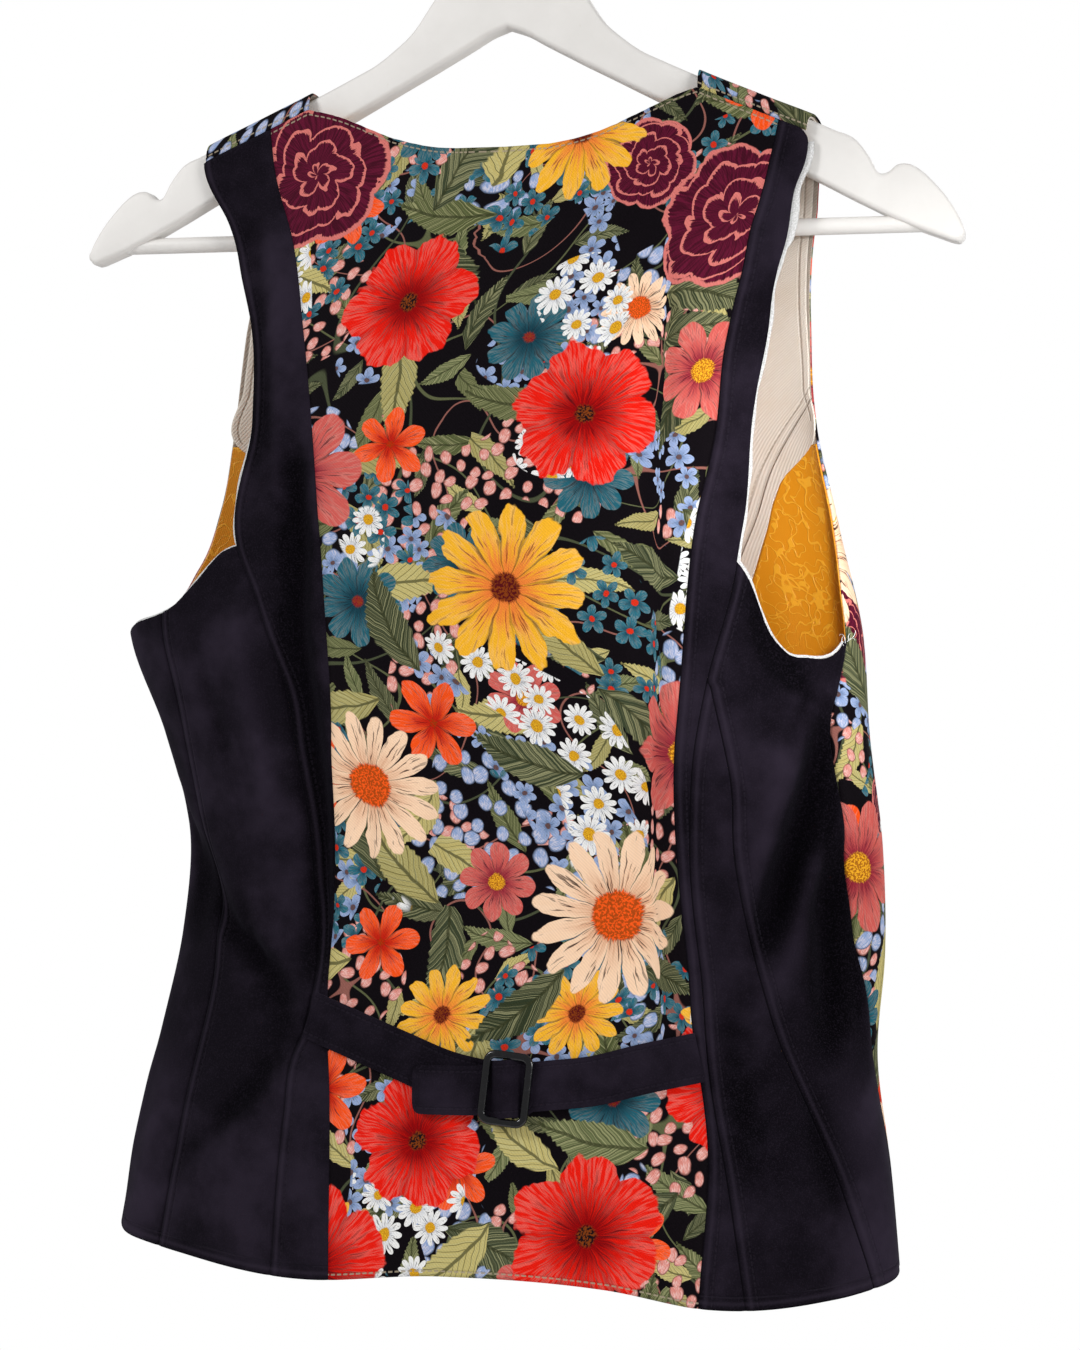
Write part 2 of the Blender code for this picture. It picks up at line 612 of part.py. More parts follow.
# White edge that faces the back armholes
def armhole_line(side):
    """The back armhole as angles and drops, from the shoulder tip to the underarm."""
    if side > 0:
        down, along = "strip right", np.array(TOPS["right"])
    else:
        down, along = "strip left", np.array(TOPS["left"])[::-1]
    seam_top = RIGHT_SEAM_TOP if side > 0 else LEFT_SEAM_TOP
    across_tip = side * (NECK_HALF + BACK_SHOULDER[side])
    tip = float(shoulder_seam(across_tip)) + 0.004
    upper = np.linspace(tip, seam_top, 15)[:-1]
    lower = along[0, 0] + (along[-1, 0] - side * 3 - along[0, 0]) * even(11)
    order = np.argsort(along[:, 0])
    angles = np.concatenate([edge(down, upper), lower])
    drops = np.concatenate([upper, smooth(along[order, 0], along[order, 1], lower)])
    return angles, drops


def stepped(angles, drops, distance):
    """A line on the body moved sideways along the cloth."""
    scale = per_degree(angles, drops)
    across = np.gradient(angles) * scale
    down = np.gradient(drops)
    length = np.hypot(across, down)
    return angles + distance * down / length / scale, drops - distance * across / length


for side, name in ((1, "right"), (-1, "left")):
    line = armhole_line(side)
    rows = []
    for distance in np.linspace(-EDGE_HIDDEN, EDGE_SHOWN, 3) * side:
        rows.append(cloth(*stepped(*line, distance), -SUEDE - LAYER_GAP - 0.0003))
    grid = np.stack(rows[::side], axis=1)
    thicken("armhole_facing_" + name, grid, EDGE_THICK, WHITE, 0.85)


# Belt of the back: two straps and a buckle
def strap_point(across, drop, off):
    angle = angle_at(across, drop)
    return body(angle, drop) + outward(angle, drop) * np.asarray(off)[..., None]


def strap(name, table, count, round_end):
    """A flat band along the middle line of its table, with a rounded tab at its first end."""
    at = np.linspace(table["across"][0], table["across"][-1], count)
    at = np.unique(np.concatenate([at, table["across"]]).round(4))
    drop = smooth(table["across"], table["drop"], at)
    off = np.interp(at, table["across"], table["off"])
    slope = np.arctan(np.gradient(drop, at))
    columns = []
    for share in np.linspace(1, -1, 5):
        half = np.full_like(at, BELT_WIDTH / 2) * share
        if round_end:
            from_end = np.clip((at - at[0]) / (BELT_WIDTH / 2), 0, 1)
            half = half * np.sqrt(1 - (1 - np.maximum(from_end, 0.10)) ** 2)
        columns.append(strap_point(at - np.sin(slope) * half, drop + np.cos(slope) * half, off))
    grid = np.stack(columns, axis=0)[::-1]
    item = thicken(name, grid, STRAP, BLACK, 0.85)
    return item


strap("belt_left", LEFT_STRAP, 12, False)
strap("belt_right", RIGHT_STRAP, 16, True)


def turned_to(item, centre, normal, spin):
    """Stands a flat thing on the cloth, with its own Z along the cloth's normal."""
    normal = np.asarray(normal) / np.linalg.norm(normal)
    side_way = np.cross((0, 0, -1), normal)
    side_way = side_way / np.linalg.norm(side_way)
    up_way = np.cross(normal, side_way)
    axes = np.stack([side_way, up_way, normal], axis=1)
    turn = np.array([[math.cos(spin), -math.sin(spin), 0], [math.sin(spin), math.cos(spin), 0], [0, 0, 1]])
    matrix = np.eye(4)
    matrix[:3, :3] = axes @ turn
    matrix[:3, 3] = centre
    item.matrix_world = [list(row) for row in matrix.T]


def rounded(width, height, radius, clockwise=False):
    """A rectangle's outline with round corners, five points to a corner."""
    outline = []
    for corner in range(4):
        centre_x = (width / 2 - radius) * (1 if corner in (0, 3) else -1)
        centre_y = (height / 2 - radius) * (1 if corner < 2 else -1)
        for step in range(5):
            angle = math.radians(corner * 90 + step * 22.5)
            outline.append((centre_x + radius * math.cos(angle), centre_y + radius * math.sin(angle)))
    return outline[::-1] if clockwise else outline


def flat_outline(name, outlines, thick, bevel):
    """A flat outline with holes, given a thickness, as a mesh whose inner face is at zero."""
    curve = bpy.data.curves.new(name, "CURVE")
    curve.dimensions = "2D"
    curve.fill_mode = "BOTH"
    curve.extrude = thick / 2 - bevel
    curve.bevel_depth = bevel
    curve.bevel_resolution = 0
    for outline in outlines:
        spline = curve.splines.new("POLY")
        spline.points.add(len(outline) - 1)
        spline.use_cyclic_u = True
        for point, (x, y) in zip(spline.points, outline):
            point.co = (x, y, 0, 1)
    drawn = bpy.data.objects.new(name + "_curve", curve)
    parts.objects.link(drawn)
    bpy.context.view_layer.update()
    mesh = bpy.data.meshes.new_from_object(drawn.evaluated_get(bpy.context.evaluated_depsgraph_get()))
    bpy.data.objects.remove(drawn, do_unlink=True)
    shape = bmesh.new()
    shape.from_mesh(mesh)
    bmesh.ops.remove_doubles(shape, verts=shape.verts, dist=0.00002)
    bmesh.ops.recalc_face_normals(shape, faces=shape.faces)
    shape.to_mesh(mesh)
    shape.free()
    item = bpy.data.objects.new(name, mesh)
    return item


buckle_angle = angle_at(BUCKLE_ACROSS, BUCKLE_DROP)
buckle_normal = outward(buckle_angle, np.array(BUCKLE_DROP))
buckle_centre = body(buckle_angle, BUCKLE_DROP) + buckle_normal * (BUCKLE_OFF + BUCKLE_THICK / 2)
inside = 2 * (BUCKLE_FRAME - BUCKLE_EASE)
buckle = flat_outline(
    "buckle",
    [
        rounded(BUCKLE_WIDTH - 2 * BUCKLE_EASE, BUCKLE_HEIGHT - 2 * BUCKLE_EASE, 0.0038),
        rounded(BUCKLE_WIDTH - inside, BUCKLE_HEIGHT - inside, 0.0020, True),
    ],
    BUCKLE_THICK, BUCKLE_EASE,
)
parts.objects.link(buckle)
turned_to(buckle, buckle_centre, buckle_normal, BUCKLE_TURN)
finish(buckle, (0.02, 0.02, 0.022), 0.3, 1.0)
bar_outline = rounded(0.0024, BUCKLE_HEIGHT - BUCKLE_FRAME, 0.0008)
centre_bar = flat_outline("centre_bar", [bar_outline], 0.0007, 0.0002)
cutters.objects.link(centre_bar)
centre_bar.hide_render = True
centre_bar.display_type = "WIRE"
bar_centre = buckle_centre - buckle_normal * (BUCKLE_THICK / 2 - 0.00045)
turned_to(centre_bar, bar_centre, buckle_normal, BUCKLE_TURN)
finish(centre_bar, (0.02, 0.02, 0.022), 0.3, 1.0)
join = buckle.modifiers.new("centre bar", "BOOLEAN")
join.operation = "UNION"
join.solver = "EXACT"
join.object = centre_bar


# Buttons on the overlap of the fronts
for number, button_drop in enumerate(BUTTON_DROPS, start=1):
    disc = bmesh.new()
    bmesh.ops.create_cone(
        disc, cap_ends=True, segments=20, radius1=BUTTON_RADIUS, radius2=BUTTON_RADIUS, depth=BUTTON_THICK
    )
    rims = [each for each in disc.edges if abs(each.verts[0].co.z - each.verts[1].co.z) < 1e-6]
    bmesh.ops.bevel(disc, geom=rims, offset=0.0008, segments=1, affect="EDGES", profile=0.5, material=-1)
    mesh = bpy.data.meshes.new("button")
    disc.to_mesh(mesh)
    disc.free()
    button = bpy.data.objects.new("button_%d" % number, mesh)
    parts.objects.link(button)
    normal = outward(180.0, np.array(button_drop))
    off = LAP_RISE + SEAM_GAP + BUTTON_THICK / 2
    turned_to(button, body(180.0, button_drop) + normal * off, normal, 0.0)
    finish(button, (0.02, 0.02, 0.022), 0.35)


# Hanger: its parts are drawn level, then turned about the pivot
pivot = bpy.data.objects.new("pivot", None)
bpy.context.scene.collection.objects.link(pivot)
pivot.location = (0, 0, -PIVOT)
pivot.rotation_euler = (0, TILT, 0)


def hang_level(item):
    """Keeps the item's level drawing, turned with the pivot."""
    item.parent = pivot
    item.location = (0, 0, PIVOT)


sections = []
for across, top, under in zip(BOARD_EDGE["across"], BOARD_EDGE["top"], BOARD_EDGE["under"]):
    radius = min(EDGE_ROUND, (under - top) * 0.42)
    slant = radius * 0.29
    half = BOARD / 2
    sections.append([
        (across, -half, -top - radius), (across, -half + slant, -top - slant), (across, -half + radius, -top),
        (across, half - radius, -top), (across, half - slant, -top - slant), (across, half, -top - radius),
        (across, half, -under + radius), (across, half - slant, -under + slant),
        (across, half - radius, -under), (across, -half + radius, -under),
        (across, -half + slant, -under + slant), (across, -half, -under + radius),
    ])
around = len(sections[0])
faces = [
    (
        row * around + point, (row + 1) * around + point,
        (row + 1) * around + (point + 1) % around, row * around + (point + 1) % around,
    )
    for row in range(len(sections) - 1)
    for point in range(around)
]
faces.append([(len(sections) - 1) * around + point for point in range(around)])
mesh = bpy.data.meshes.new("hanger_board")
mesh.from_pydata([point for section in sections for point in section], [], faces)
shape = bmesh.new()
shape.from_mesh(mesh)
bmesh.ops.recalc_face_normals(shape, faces=shape.faces)
shape.to_mesh(mesh)
shape.free()
board = bpy.data.objects.new("hanger_board", mesh)
parts.objects.link(board)
hang_level(board)
finish(board, WHITE, 0.45)
mirrored = board.modifiers.new("other arm", "MIRROR")
mirrored.use_clip = True
mirrored.merge_threshold = 0.0001


def round_bar(name, radius, low_end, high_end):
    rod = bmesh.new()
    length = high_end - low_end
    bmesh.ops.create_cone(rod, cap_ends=True, segments=20, radius1=radius, radius2=radius, depth=length)
    for vertex in rod.verts:
        x, y, z = vertex.co
        vertex.co = (z + (low_end + high_end) / 2, y, -x - BAR_DROP)
    mesh = bpy.data.meshes.new(name)
    rod.to_mesh(mesh)
    rod.free()
    return bpy.data.objects.new(name, mesh)


for side, name in ((1, "right"), (-1, "left")):
    low_end, high_end = sorted((side * 0.150, side * (BAR_HALF + SOCKET_GAP)))
    socket = round_bar("socket_" + name, BAR_RADIUS + SOCKET_GAP, low_end, high_end)
    cutters.objects.link(socket)
    socket.hide_render = True
    socket.display_type = "WIRE"
    hang_level(socket)
    drilled = board.modifiers.new("socket " + name, "BOOLEAN")
    drilled.operation = "DIFFERENCE"
    drilled.solver = "EXACT"
    drilled.object = socket
bar = round_bar("trouser_bar", BAR_RADIUS, -BAR_HALF, BAR_HALF)
parts.objects.link(bar)
hang_level(bar)
finish(bar, WHITE, 0.45)

# Hook: one bent wire, round at the top, that stands in the middle of the board
centre_drop = HOOK_RADIUS - WIRE_RADIUS
wire_line = []
for turn in np.linspace(205, -50, 27):
    now = math.radians(turn)
    wire_line.append((HOOK_RADIUS * math.cos(now), -centre_drop + HOOK_RADIUS * math.sin(now)))
last_x, last_z = wire_line[-1]
for turn in np.linspace(220, 270 - math.degrees(TILT), 8)[1:]:
    start, now = math.radians(220), math.radians(turn)
    wire_line.append((
        last_x + HOOK_BEND * (math.sin(now) - math.sin(start)),
        last_z - HOOK_BEND * (math.cos(now) - math.cos(start)),
    ))
above_pivot = PIVOT - BOARD_EDGE["top"][0]
board_top = np.array([above_pivot * math.sin(TILT), -PIVOT + above_pivot * math.cos(TILT)])
wire_line.append((board_top[0], board_top[1] + SEAM_GAP + 0.0002))
curve = bpy.data.curves.new("hook", "CURVE")
curve.dimensions = "3D"
curve.bevel_depth = WIRE_RADIUS
curve.bevel_resolution = 2
curve.use_fill_caps = True
spline = curve.splines.new("POLY")
spline.points.add(len(wire_line) - 1)
for point, (x, z) in zip(spline.points, wire_line):
    point.co = (x, 0, z, 1)
hook = bpy.data.objects.new("hook", curve)
parts.objects.link(hook)
finish(hook, (0.72, 0.73, 0.75), 0.22, 1.0)
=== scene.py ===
import math

import bmesh
import bpy
import numpy as np
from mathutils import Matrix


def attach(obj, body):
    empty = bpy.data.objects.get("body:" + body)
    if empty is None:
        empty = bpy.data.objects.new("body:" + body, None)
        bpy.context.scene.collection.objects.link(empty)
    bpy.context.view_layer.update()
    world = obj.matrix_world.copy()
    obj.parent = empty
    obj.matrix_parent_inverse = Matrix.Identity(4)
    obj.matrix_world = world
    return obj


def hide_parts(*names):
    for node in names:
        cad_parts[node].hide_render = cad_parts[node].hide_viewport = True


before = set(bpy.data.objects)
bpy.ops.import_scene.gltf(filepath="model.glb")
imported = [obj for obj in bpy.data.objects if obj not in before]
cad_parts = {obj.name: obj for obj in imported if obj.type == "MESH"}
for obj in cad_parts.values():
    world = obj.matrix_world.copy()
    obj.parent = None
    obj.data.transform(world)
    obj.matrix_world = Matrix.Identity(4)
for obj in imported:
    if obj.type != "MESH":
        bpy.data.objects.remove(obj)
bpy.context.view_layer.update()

# The camera looks at the back from its right, level with the waist.
# A floor well below and soft lights all round stand for the studio.
VIEW_TURN, VIEW_AWAY, VIEW_DROP = math.radians(17.0), 1.1, 0.421
SENSOR, FOCAL_PIXELS, PICTURE_PIXELS = 36, 2241, 1080
WAIST, ARMHOLE = (0, 0, -0.4), (0.185, 0.03, -0.335)
SKY, FLOOR_DROP, FLOOR_SIZE, PAPER = 0.36, 1.35, 1.6, 0.93


def added(name, data):
    item = bpy.data.objects.new(name, data)
    bpy.context.scene.collection.objects.link(item)
    return item

camera = added("camera", bpy.data.cameras.new("camera"))
camera.data.sensor_fit = "HORIZONTAL"
camera.data.sensor_width = SENSOR
camera.data.lens = SENSOR * FOCAL_PIXELS / PICTURE_PIXELS
camera.data.shift_x = SENSOR / PICTURE_PIXELS
camera.location = (VIEW_AWAY * math.sin(VIEW_TURN), -VIEW_AWAY * math.cos(VIEW_TURN), -VIEW_DROP)
camera.rotation_euler = (math.radians(90), 0, VIEW_TURN)
bpy.context.scene.camera = camera
bpy.context.scene.view_settings.view_transform = "Standard"

backdrop = bpy.data.worlds.new("studio")
backdrop.use_nodes = True
sky = backdrop.node_tree
seen = sky.nodes.new("ShaderNodeMapRange")
seen.inputs["To Min"].default_value = SKY
sky.links.new(sky.nodes.new("ShaderNodeLightPath").outputs["Is Camera Ray"], seen.inputs["Value"])
sky.nodes["Background"].inputs["Color"].default_value = (1, 1, 1, 1)
sky.links.new(seen.outputs["Result"], sky.nodes["Background"].inputs["Strength"])
bpy.context.scene.world = backdrop

for name, kind, power, place, aim, settings in (
    ("key light", "AREA", 33, (-1.6, -1.5, 0.8), WAIST, {"size": 0.7}),
    ("fill light", "AREA", 28, (1.9, -1.1, -0.1), WAIST, {"size": 0.8}),
    ("front light", "AREA", 16, (0.3, 2.2, 0.3), WAIST, {"size": 1.6}),
    ("armhole light", "SPOT", 60, (0.44, -1.02, -0.34), ARMHOLE,
     {"shadow_soft_size": 0.08, "spot_size": math.radians(14), "spot_blend": 0.7}),
):
    lamp = added(name, bpy.data.lights.new(name, kind))
    lamp.data.energy, lamp.location = power, place
    for label, value in settings.items():
        setattr(lamp.data, label, value)
    x, y, z = np.array(lamp.location) - aim
    lamp.rotation_euler = (math.atan2(math.hypot(x, y), z), 0, math.atan2(x, -y))

ground = bmesh.new()
bmesh.ops.create_grid(ground, x_segments=1, y_segments=1, size=FLOOR_SIZE)
bmesh.ops.translate(ground, verts=ground.verts, vec=(0, 0, -FLOOR_DROP))
floor = added("floor", bpy.data.meshes.new("floor"))
ground.to_mesh(floor.data)
ground.free()
paper = bpy.data.materials.new("paper")
paper.use_nodes = True
paper.node_tree.nodes["Principled BSDF"].inputs["Base Color"].default_value = (PAPER, PAPER, PAPER, 1)
paper.node_tree.nodes["Principled BSDF"].inputs["Roughness"].default_value = 0.9
floor.data.materials.append(paper)

# The floral centre back is one piece from the neck to the hem, sewn to a strip at each side.
# It is fine printed cotton over a lining, and it hangs in soft falls with a tuck at its right.
# Every piece of the vest lies on this hung form: an angle round the body and a drop below the hook.
SUEDE, PRINT, LINING, STRAP = 0.0014, 0.0012, 0.0008, 0.0016
SHOULDER, NECK_HALF, V_POINT, FORK = 0.1449, 0.099, 0.42, 0.4246
SEAM_BELOW_ARM, CLOTH_OVER_ARM, ARCH_ROUND, ARCH_ROWS = 0.0064, 0.0036, 0.72, 36
PIVOT, TILT, SHOULDER_SLOPE = 0.21, 0.0288, 0.4
LAP_HALF, LAP_RISE = 3.4, 0.0036
TUCK_TAKES = 0.014

# The tables give millimetres and degrees. The ring of the hung vest at each drop: its reach to
# each side, its depth in the back and in the front, and how square it is (2 is an ellipse)
RING = {
    "drop": (120, 160, 200, 250, 300, 350, 400, 450, 500, 550, 600, 650, 710),
    "left": (205, 205, 205, 201, 197, 197, 198.9, 178.9, 165.5, 169, 180.5, 192, 203.6),
    "right": (205, 205, 198, 170, 155.6, 164, 175.2, 178.6, 184.5, 185.5, 182, 188, 192.9),
    "back": (10.5, 12, 17, 26, 36, 47, 56, 60, 60, 59, 63, 70, 78),
    "front": (10.5, 13, 19, 29, 40, 51, 59, 61, 61, 62, 65, 70, 77),
    "square": (4, 3.8, 3.2, 2.7, 2.4, 2.3, 2.2, 2.2, 2.2, 2.2, 2.2, 2.2, 2.2),
}

# Cut edges of the pieces: angle from the centre back at each drop
EDGES = {
    "centre left": ((140, -20.4), (339, -17.7), (396, -16.8), (506, -24.6), (548, -24.4), (622, -19),
     (710, -14.9)),
    "centre right": ((150, 27.4), (184, 27.1), (207, 29.7), (240, 37.3), (267, 41.5), (302, 45.1),
     (350, 38.8), (417, 33.6), (502, 28.2), (569, 31.4), (608, 34.9), (710, 33.8)),
    "strip left": ((150, -35.2), (162, -36), (192, -30.9), (223, -30), (246, -29.1), (295, -30.5),
     (357.5, -33.9), (380, -30), (423, -26.9), (459, -28.6), (516, -29.6), (570, -26.2), (591, -26.2),
     (602, -27.4), (631, -27), (710, -24.6)),
    "strip right": ((160, 33.6), (180, 34.3), (192, 34), (222, 40.9), (270, 52.3), (293, 54.2), (368.5, 46.6),
     (424.6, 37.7), (498, 30.6), (607, 36.5), (710, 41.9)),
    "side back left": ((390, -54.8), (421, -56.2), (451, -60.5), (508, -62.4), (533, -56.3), (561, -52.7),
     (635, -51.7), (710, -51.4)),
    "side back right": ((424.6, 38.3), (469, 39.8), (501, 38.6), (554, 43.2), (628, 59.1), (710, 74)),
    "side left": ((401, -86), (450, -88), (600, -89), (710, -90)),
    "side right": ((404.8, 76.2), (438, 68.6), (467, 67.6), (549, 71.8), (579, 80.8), (610, 89), (650, 95),
     (710, 97)),
    "front armhole left": ((150, -145), (197, -147.4), (217, -146.4), (229.5, -145.5), (245, -142.7),
     (272.4, -137.9), (301.2, -133), (334.3, -127.4), (365.7, -119.5), (384, -111.4), (394, -101),
     (401, -86)),
    "front armhole right": ((155, 142.5), (185, 143.5), (206, 139.6), (251, 122.3), (284, 108.9), (311, 96.5),
     (356, 85.6), (383, 78.5), (404.8, 76.2)),
    "facing left": ((150, -146.2), (197, -148.6), (217, -147.6), (245, -143.9), (272.4, -139.1),
     (301.2, -134.4), (312, -140.5), (330, -145), (375, -150), (420, -153), (710, -156)),
    "facing right": ((155, 143.7), (185, 144.7), (206, 140.8), (251, 123.5), (284, 110.2), (310.5, 102.7),
     (317, 112.4), (323.5, 120.3), (334.5, 126.3), (350, 130.7), (375, 137.2), (420, 148), (710, 156)),
}

# Upper edges that aren't along the shoulder, and the hem: drop at each angle
TOPS = {
    "left": ((-86, 401), (-80.3, 399.5), (-68, 394.5), (-54.9, 390), (-50.2, 386.3), (-43.8, 375.1),
     (-37.1, 360.5), (-33.9, 357.5)),
    "right": ((46.6, 368.5), (48.9, 378.4), (51.6, 398.6), (54.5, 408.5), (61.2, 413), (68.8, 412),
     (76.2, 404.8)),
}
HEM = ((-180, 693), (-90, 694), (-70, 698.5), (-45, 701.5), (-18, 704.5), (0, 697.2), (12, 696.8),
       (20, 698.5), (34, 705.4), (60, 703.1), (75, 700), (95, 695.8), (180, 693))
NECKLINE = ((0, 164.7), (36, 162.5), (55.5, 157.2), (71.3, 150.5), (89, 143.2), (99, 140.3))

# Creases: how far out (in below zero), half width, and the line they follow from top to bottom
FOLDS = (
    # the tuck, and the falls of the back
    (-5.5, 6.5, ((217, 18.5), (245, 25), (302, 33), (356, 31.4), (410, 29.6), (460, 26.2), (489, 24.6),
     (551, 25.2), (590, 28))),
    (2, 7, ((217, 14.5), (245, 20.4), (302, 27.4), (356, 25.8), (410, 24.2), (460, 21), (489, 19.6),
     (560, 20.6))),
    (-3, 10, ((303, -2.7), (367, -2.6), (433, -4.1), (503, -9.1), (575, -8.6))),
    (-7, 7.5, ((300, -22.4), (366, -21.6), (404, -22.4), (462, -25.4), (510, -27.4), (560, -26.4))),
    # left half
    (2, 8.5, ((185, -22), (231, -23.1), (296, -24.4), (340, -25.2))),
    (-2.2, 7, ((195, -26.2), (241, -27.1), (290, -28.4), (330, -30))),
    (2.6, 8, ((385, -33), (443, -35.5), (490, -37))),
    (-5, 10, ((500, -66), (541, -51), (560, -38.5), (590, -30))),
    (-3, 9, ((595, -29), (621, -34.6), (655, -47))),
    (-3.8, 9, ((495, -72), (523, -66), (550, -62))),
    # right half
    (-4.2, 8, ((380, 50.5), (412, 53), (426, 58), (436, 66))),
    (-9.5, 9, ((440, 66), (473, 58.1), (505, 50.3), (548, 44.5))),
    (3.6, 8, ((440, 58), (473, 50.6), (505, 44.2), (540, 41))),
    (-8, 8.5, ((500, 65.6), (524, 60.4), (546, 61), (590, 64.5))),
    (3.4, 7.5, ((490, 62.5), (523, 54.4), (546, 50.3), (580, 45))),
    (-3.6, 9, ((570, 38), (604, 41), (650, 44))),
    # hem and front
    (3, 16, ((600, -60), (650, -62), (720, -64))),
    (3, 15, ((600, 70), (650, 76), (720, 82))),
    (2.6, 20, ((540, -120), (620, -124), (720, -126))),
    (2.4, 20, ((520, 118), (620, 120), (720, 122))),
)
SMALL_FOLDS = (
    # back centre
    (-0.8, 4.5, ((165, -7), (200, -6), (250, -5))),
    (0.8, 5, ((165, 9), (205, 10), (260, 12))),
    (-1.2, 6, ((300, 9), (400, 8), (520, 6.5), (600, 8))),
    (-1.4, 5, ((380, -13), (460, -16), (540, -19), (600, -16))),
    (1.2, 4.5, ((620, -11), (650, -12.5), (690, -13))),
    (-1.4, 5, ((618, 2), (650, 1), (690, -1))),
    (1.2, 5.5, ((615, 17), (650, 19), (690, 20))),
    # right half
    (-2.2, 4, ((455, 70), (480, 64), (520, 58), (545, 54))),
    (-1.8, 3.8, ((420, 62), (445, 56), (470, 51))),
    (-1.8, 4.5, ((520, 70), (550, 70.5), (600, 78))),
    (-2, 6, ((600, 58), (640, 60), (690, 68))),
    # left half
    (-1.4, 5.5, ((400, -44), (440, -46), (480, -45))),
    (-1.6, 4.5, ((470, -80), (500, -74), (530, -70))),
    (-1.2, 4, ((520, -48), (550, -42), (575, -36))),
    (1.4, 7, ((590, -72), (640, -74), (690, -76))),
    (-1, 3.5, ((250, -25), (300, -26.5), (350, -27))),
    # front
    (-2, 12, ((330, -128), (430, -134), (560, -138))),
    (-2.2, 11, ((320, 128), (440, 132), (590, 134))),
    (-1.6, 7, ((470, -112), (520, -120), (560, -128))),
    (-1.6, 7, ((480, 110), (520, 118), (570, 128))),
    (1.4, 8, ((560, -150), (620, -152), (700, -154))),
    (1.4, 8, ((570, 148), (620, 151), (700, 153))),
)

# Half of the wooden board: how far along the arm, and the drops of its upper and under edge
BOARD_EDGE = {
    "across": (0, 10, 17, 24, 31, 39, 48, 58.6, 67, 78, 98, 128, 161, 172.5, 178, 182, 187, 191, 196, 203.5,
     209, 214.5, 218.5, 221.2, 222.5),
    "top": (61.5, 62, 64.5, 70.5, 79, 90.5, 103.5, 113, 119, 124.5, 133.8, 146.8, 161, 167, 174.2, 181.2,
     181.8, 178.6, 178.2, 182.5, 188, 194.5, 200.5, 205.5, 209),
    "under": (104.5, 108.2, 112.2, 116, 119.7, 124, 128.6, 134.1, 138.5, 144.2, 154.7, 170.6, 188.1, 194.3,
     197.1, 199.2, 201.7, 203.7, 206, 209.3, 211.4, 213.5, 214.8, 214.6, 212.8),
}


def points_of(*parts):
    """Points from their parts, in a trailing axis."""
    return np.stack(np.broadcast_arrays(*parts), axis=-1)


def size_of(ways):
    return np.linalg.norm(ways, axis=-1)


def smooth(places, values, at):
    """Values read off a table by a smooth curve through its rows."""
    places, values = np.asarray(places, float), np.asarray(values, float)
    at = np.clip(np.asarray(at, float), places[0], places[-1])
    row = np.clip(np.searchsorted(places, at) - 1, 0, len(places) - 2)
    step = places[row + 1] - places[row]
    part = (at - places[row]) / step
    slope = np.gradient(values, places)
    return ((2 * part**3 - 3 * part**2 + 1) * values[row] + (part**3 - 2 * part**2 + part) * step * slope[row]
            + (3 * part**2 - 2 * part**3) * values[row + 1] + (part**3 - part**2) * step * slope[row + 1])


def angle_down(rows, drop):
    drops, angles = np.transpose(rows)
    return smooth(drops / 1000, angles, drop)


def drop_round(rows, angle):
    angles, drops = np.transpose(rows)
    return smooth(angles, drops / 1000, angle)


def rise(at, start, end):
    """0 before start, 1 after end and an even S between."""
    part = np.clip((np.asarray(at, float) - start) / (end - start), 0, 1)
    return part * part * (3 - 2 * part)


def ring(name, drop):
    return smooth(np.divide(RING["drop"], 1000), np.divide(RING[name], 1 if name == "square" else 1000), drop)


def edge(name, drop):
    return angle_down(EDGES[name], drop)


def body_level(across, drop):
    """The drop at which the ring's depth is read: the cloth deepens along the sloping arms."""
    hung = 1 - rise(drop, 0.16, 0.4)
    return drop - (SHOULDER_SLOPE * np.maximum(np.abs(across) - 0.09, 0) + TILT * across) * hung


def eased(value, power):
    return np.sign(value) * np.abs(value) ** power


def body(angle, drop):
    """The hung body without creases, as points in a trailing axis."""
    angle = np.asarray(angle, float)
    level = drop = np.asarray(drop, float) + 0 * angle
    left, right, turn = ring("left", drop), ring("right", drop), np.radians(angle)
    for _ in range(4):
        square = ring("square", level)
        across = (right - left) / 2 + (right + left) / 2 * eased(np.sin(turn), 2 / square)
        level = body_level(across, drop)
    depth = np.where(np.cos(turn) > 0, ring("back", level), ring("front", level))
    return points_of(across, -depth * eased(np.cos(turn), 2 / square), -drop)


def angle_at(across, drop):
    """The back's angle at a distance across."""
    left, right = ring("left", drop), ring("right", drop)
    share = (across - (right - left) / 2) / ((right + left) / 2)
    return np.degrees(np.arcsin(eased(share, ring("square", body_level(across, drop)) / 2)))


def one_degree(angle, drop):
    return body(angle + 0.5, drop) - body(angle - 0.5, drop)


def per_degree(angle, drop):
    """Metres of cloth to a degree of turn."""
    return size_of(one_degree(angle, drop))


def outward(angle, drop):
    """Unit normals of the hung body."""
    normal = np.cross(body(angle, drop + 0.002) - body(angle, drop - 0.002), one_degree(angle, drop))
    return normal / size_of(normal)[..., None]


def pushed_out(folds, angle, drop, share, longest, beyond):
    """How far folds push the cloth out. Each fades at its ends over a share of its length."""
    scale = per_degree(angle, drop)
    pushed = np.zeros_like(scale)
    for deep, half_width, line in folds:
        start, end = line[0][0] / 1000, line[-1][0] / 1000
        fade = min(longest, (end - start) * share)
        shown = rise(drop, start - fade * beyond, start + fade)
        shown = shown * (1 - rise(drop, end - fade, end + fade * beyond))
        away = (angle - angle_down(line, drop)) * scale / (half_width / 1000)
        pushed = pushed + deep / 1000 * shown * np.exp(-away * away)
    return pushed


def creases(angle, drop):
    """The hung form's folds with the smaller ones laid over them."""
    return pushed_out(FOLDS, angle, drop, 0.4, 0.03, 0.5) + pushed_out(SMALL_FOLDS, angle, drop, 0.35, 1, 0)


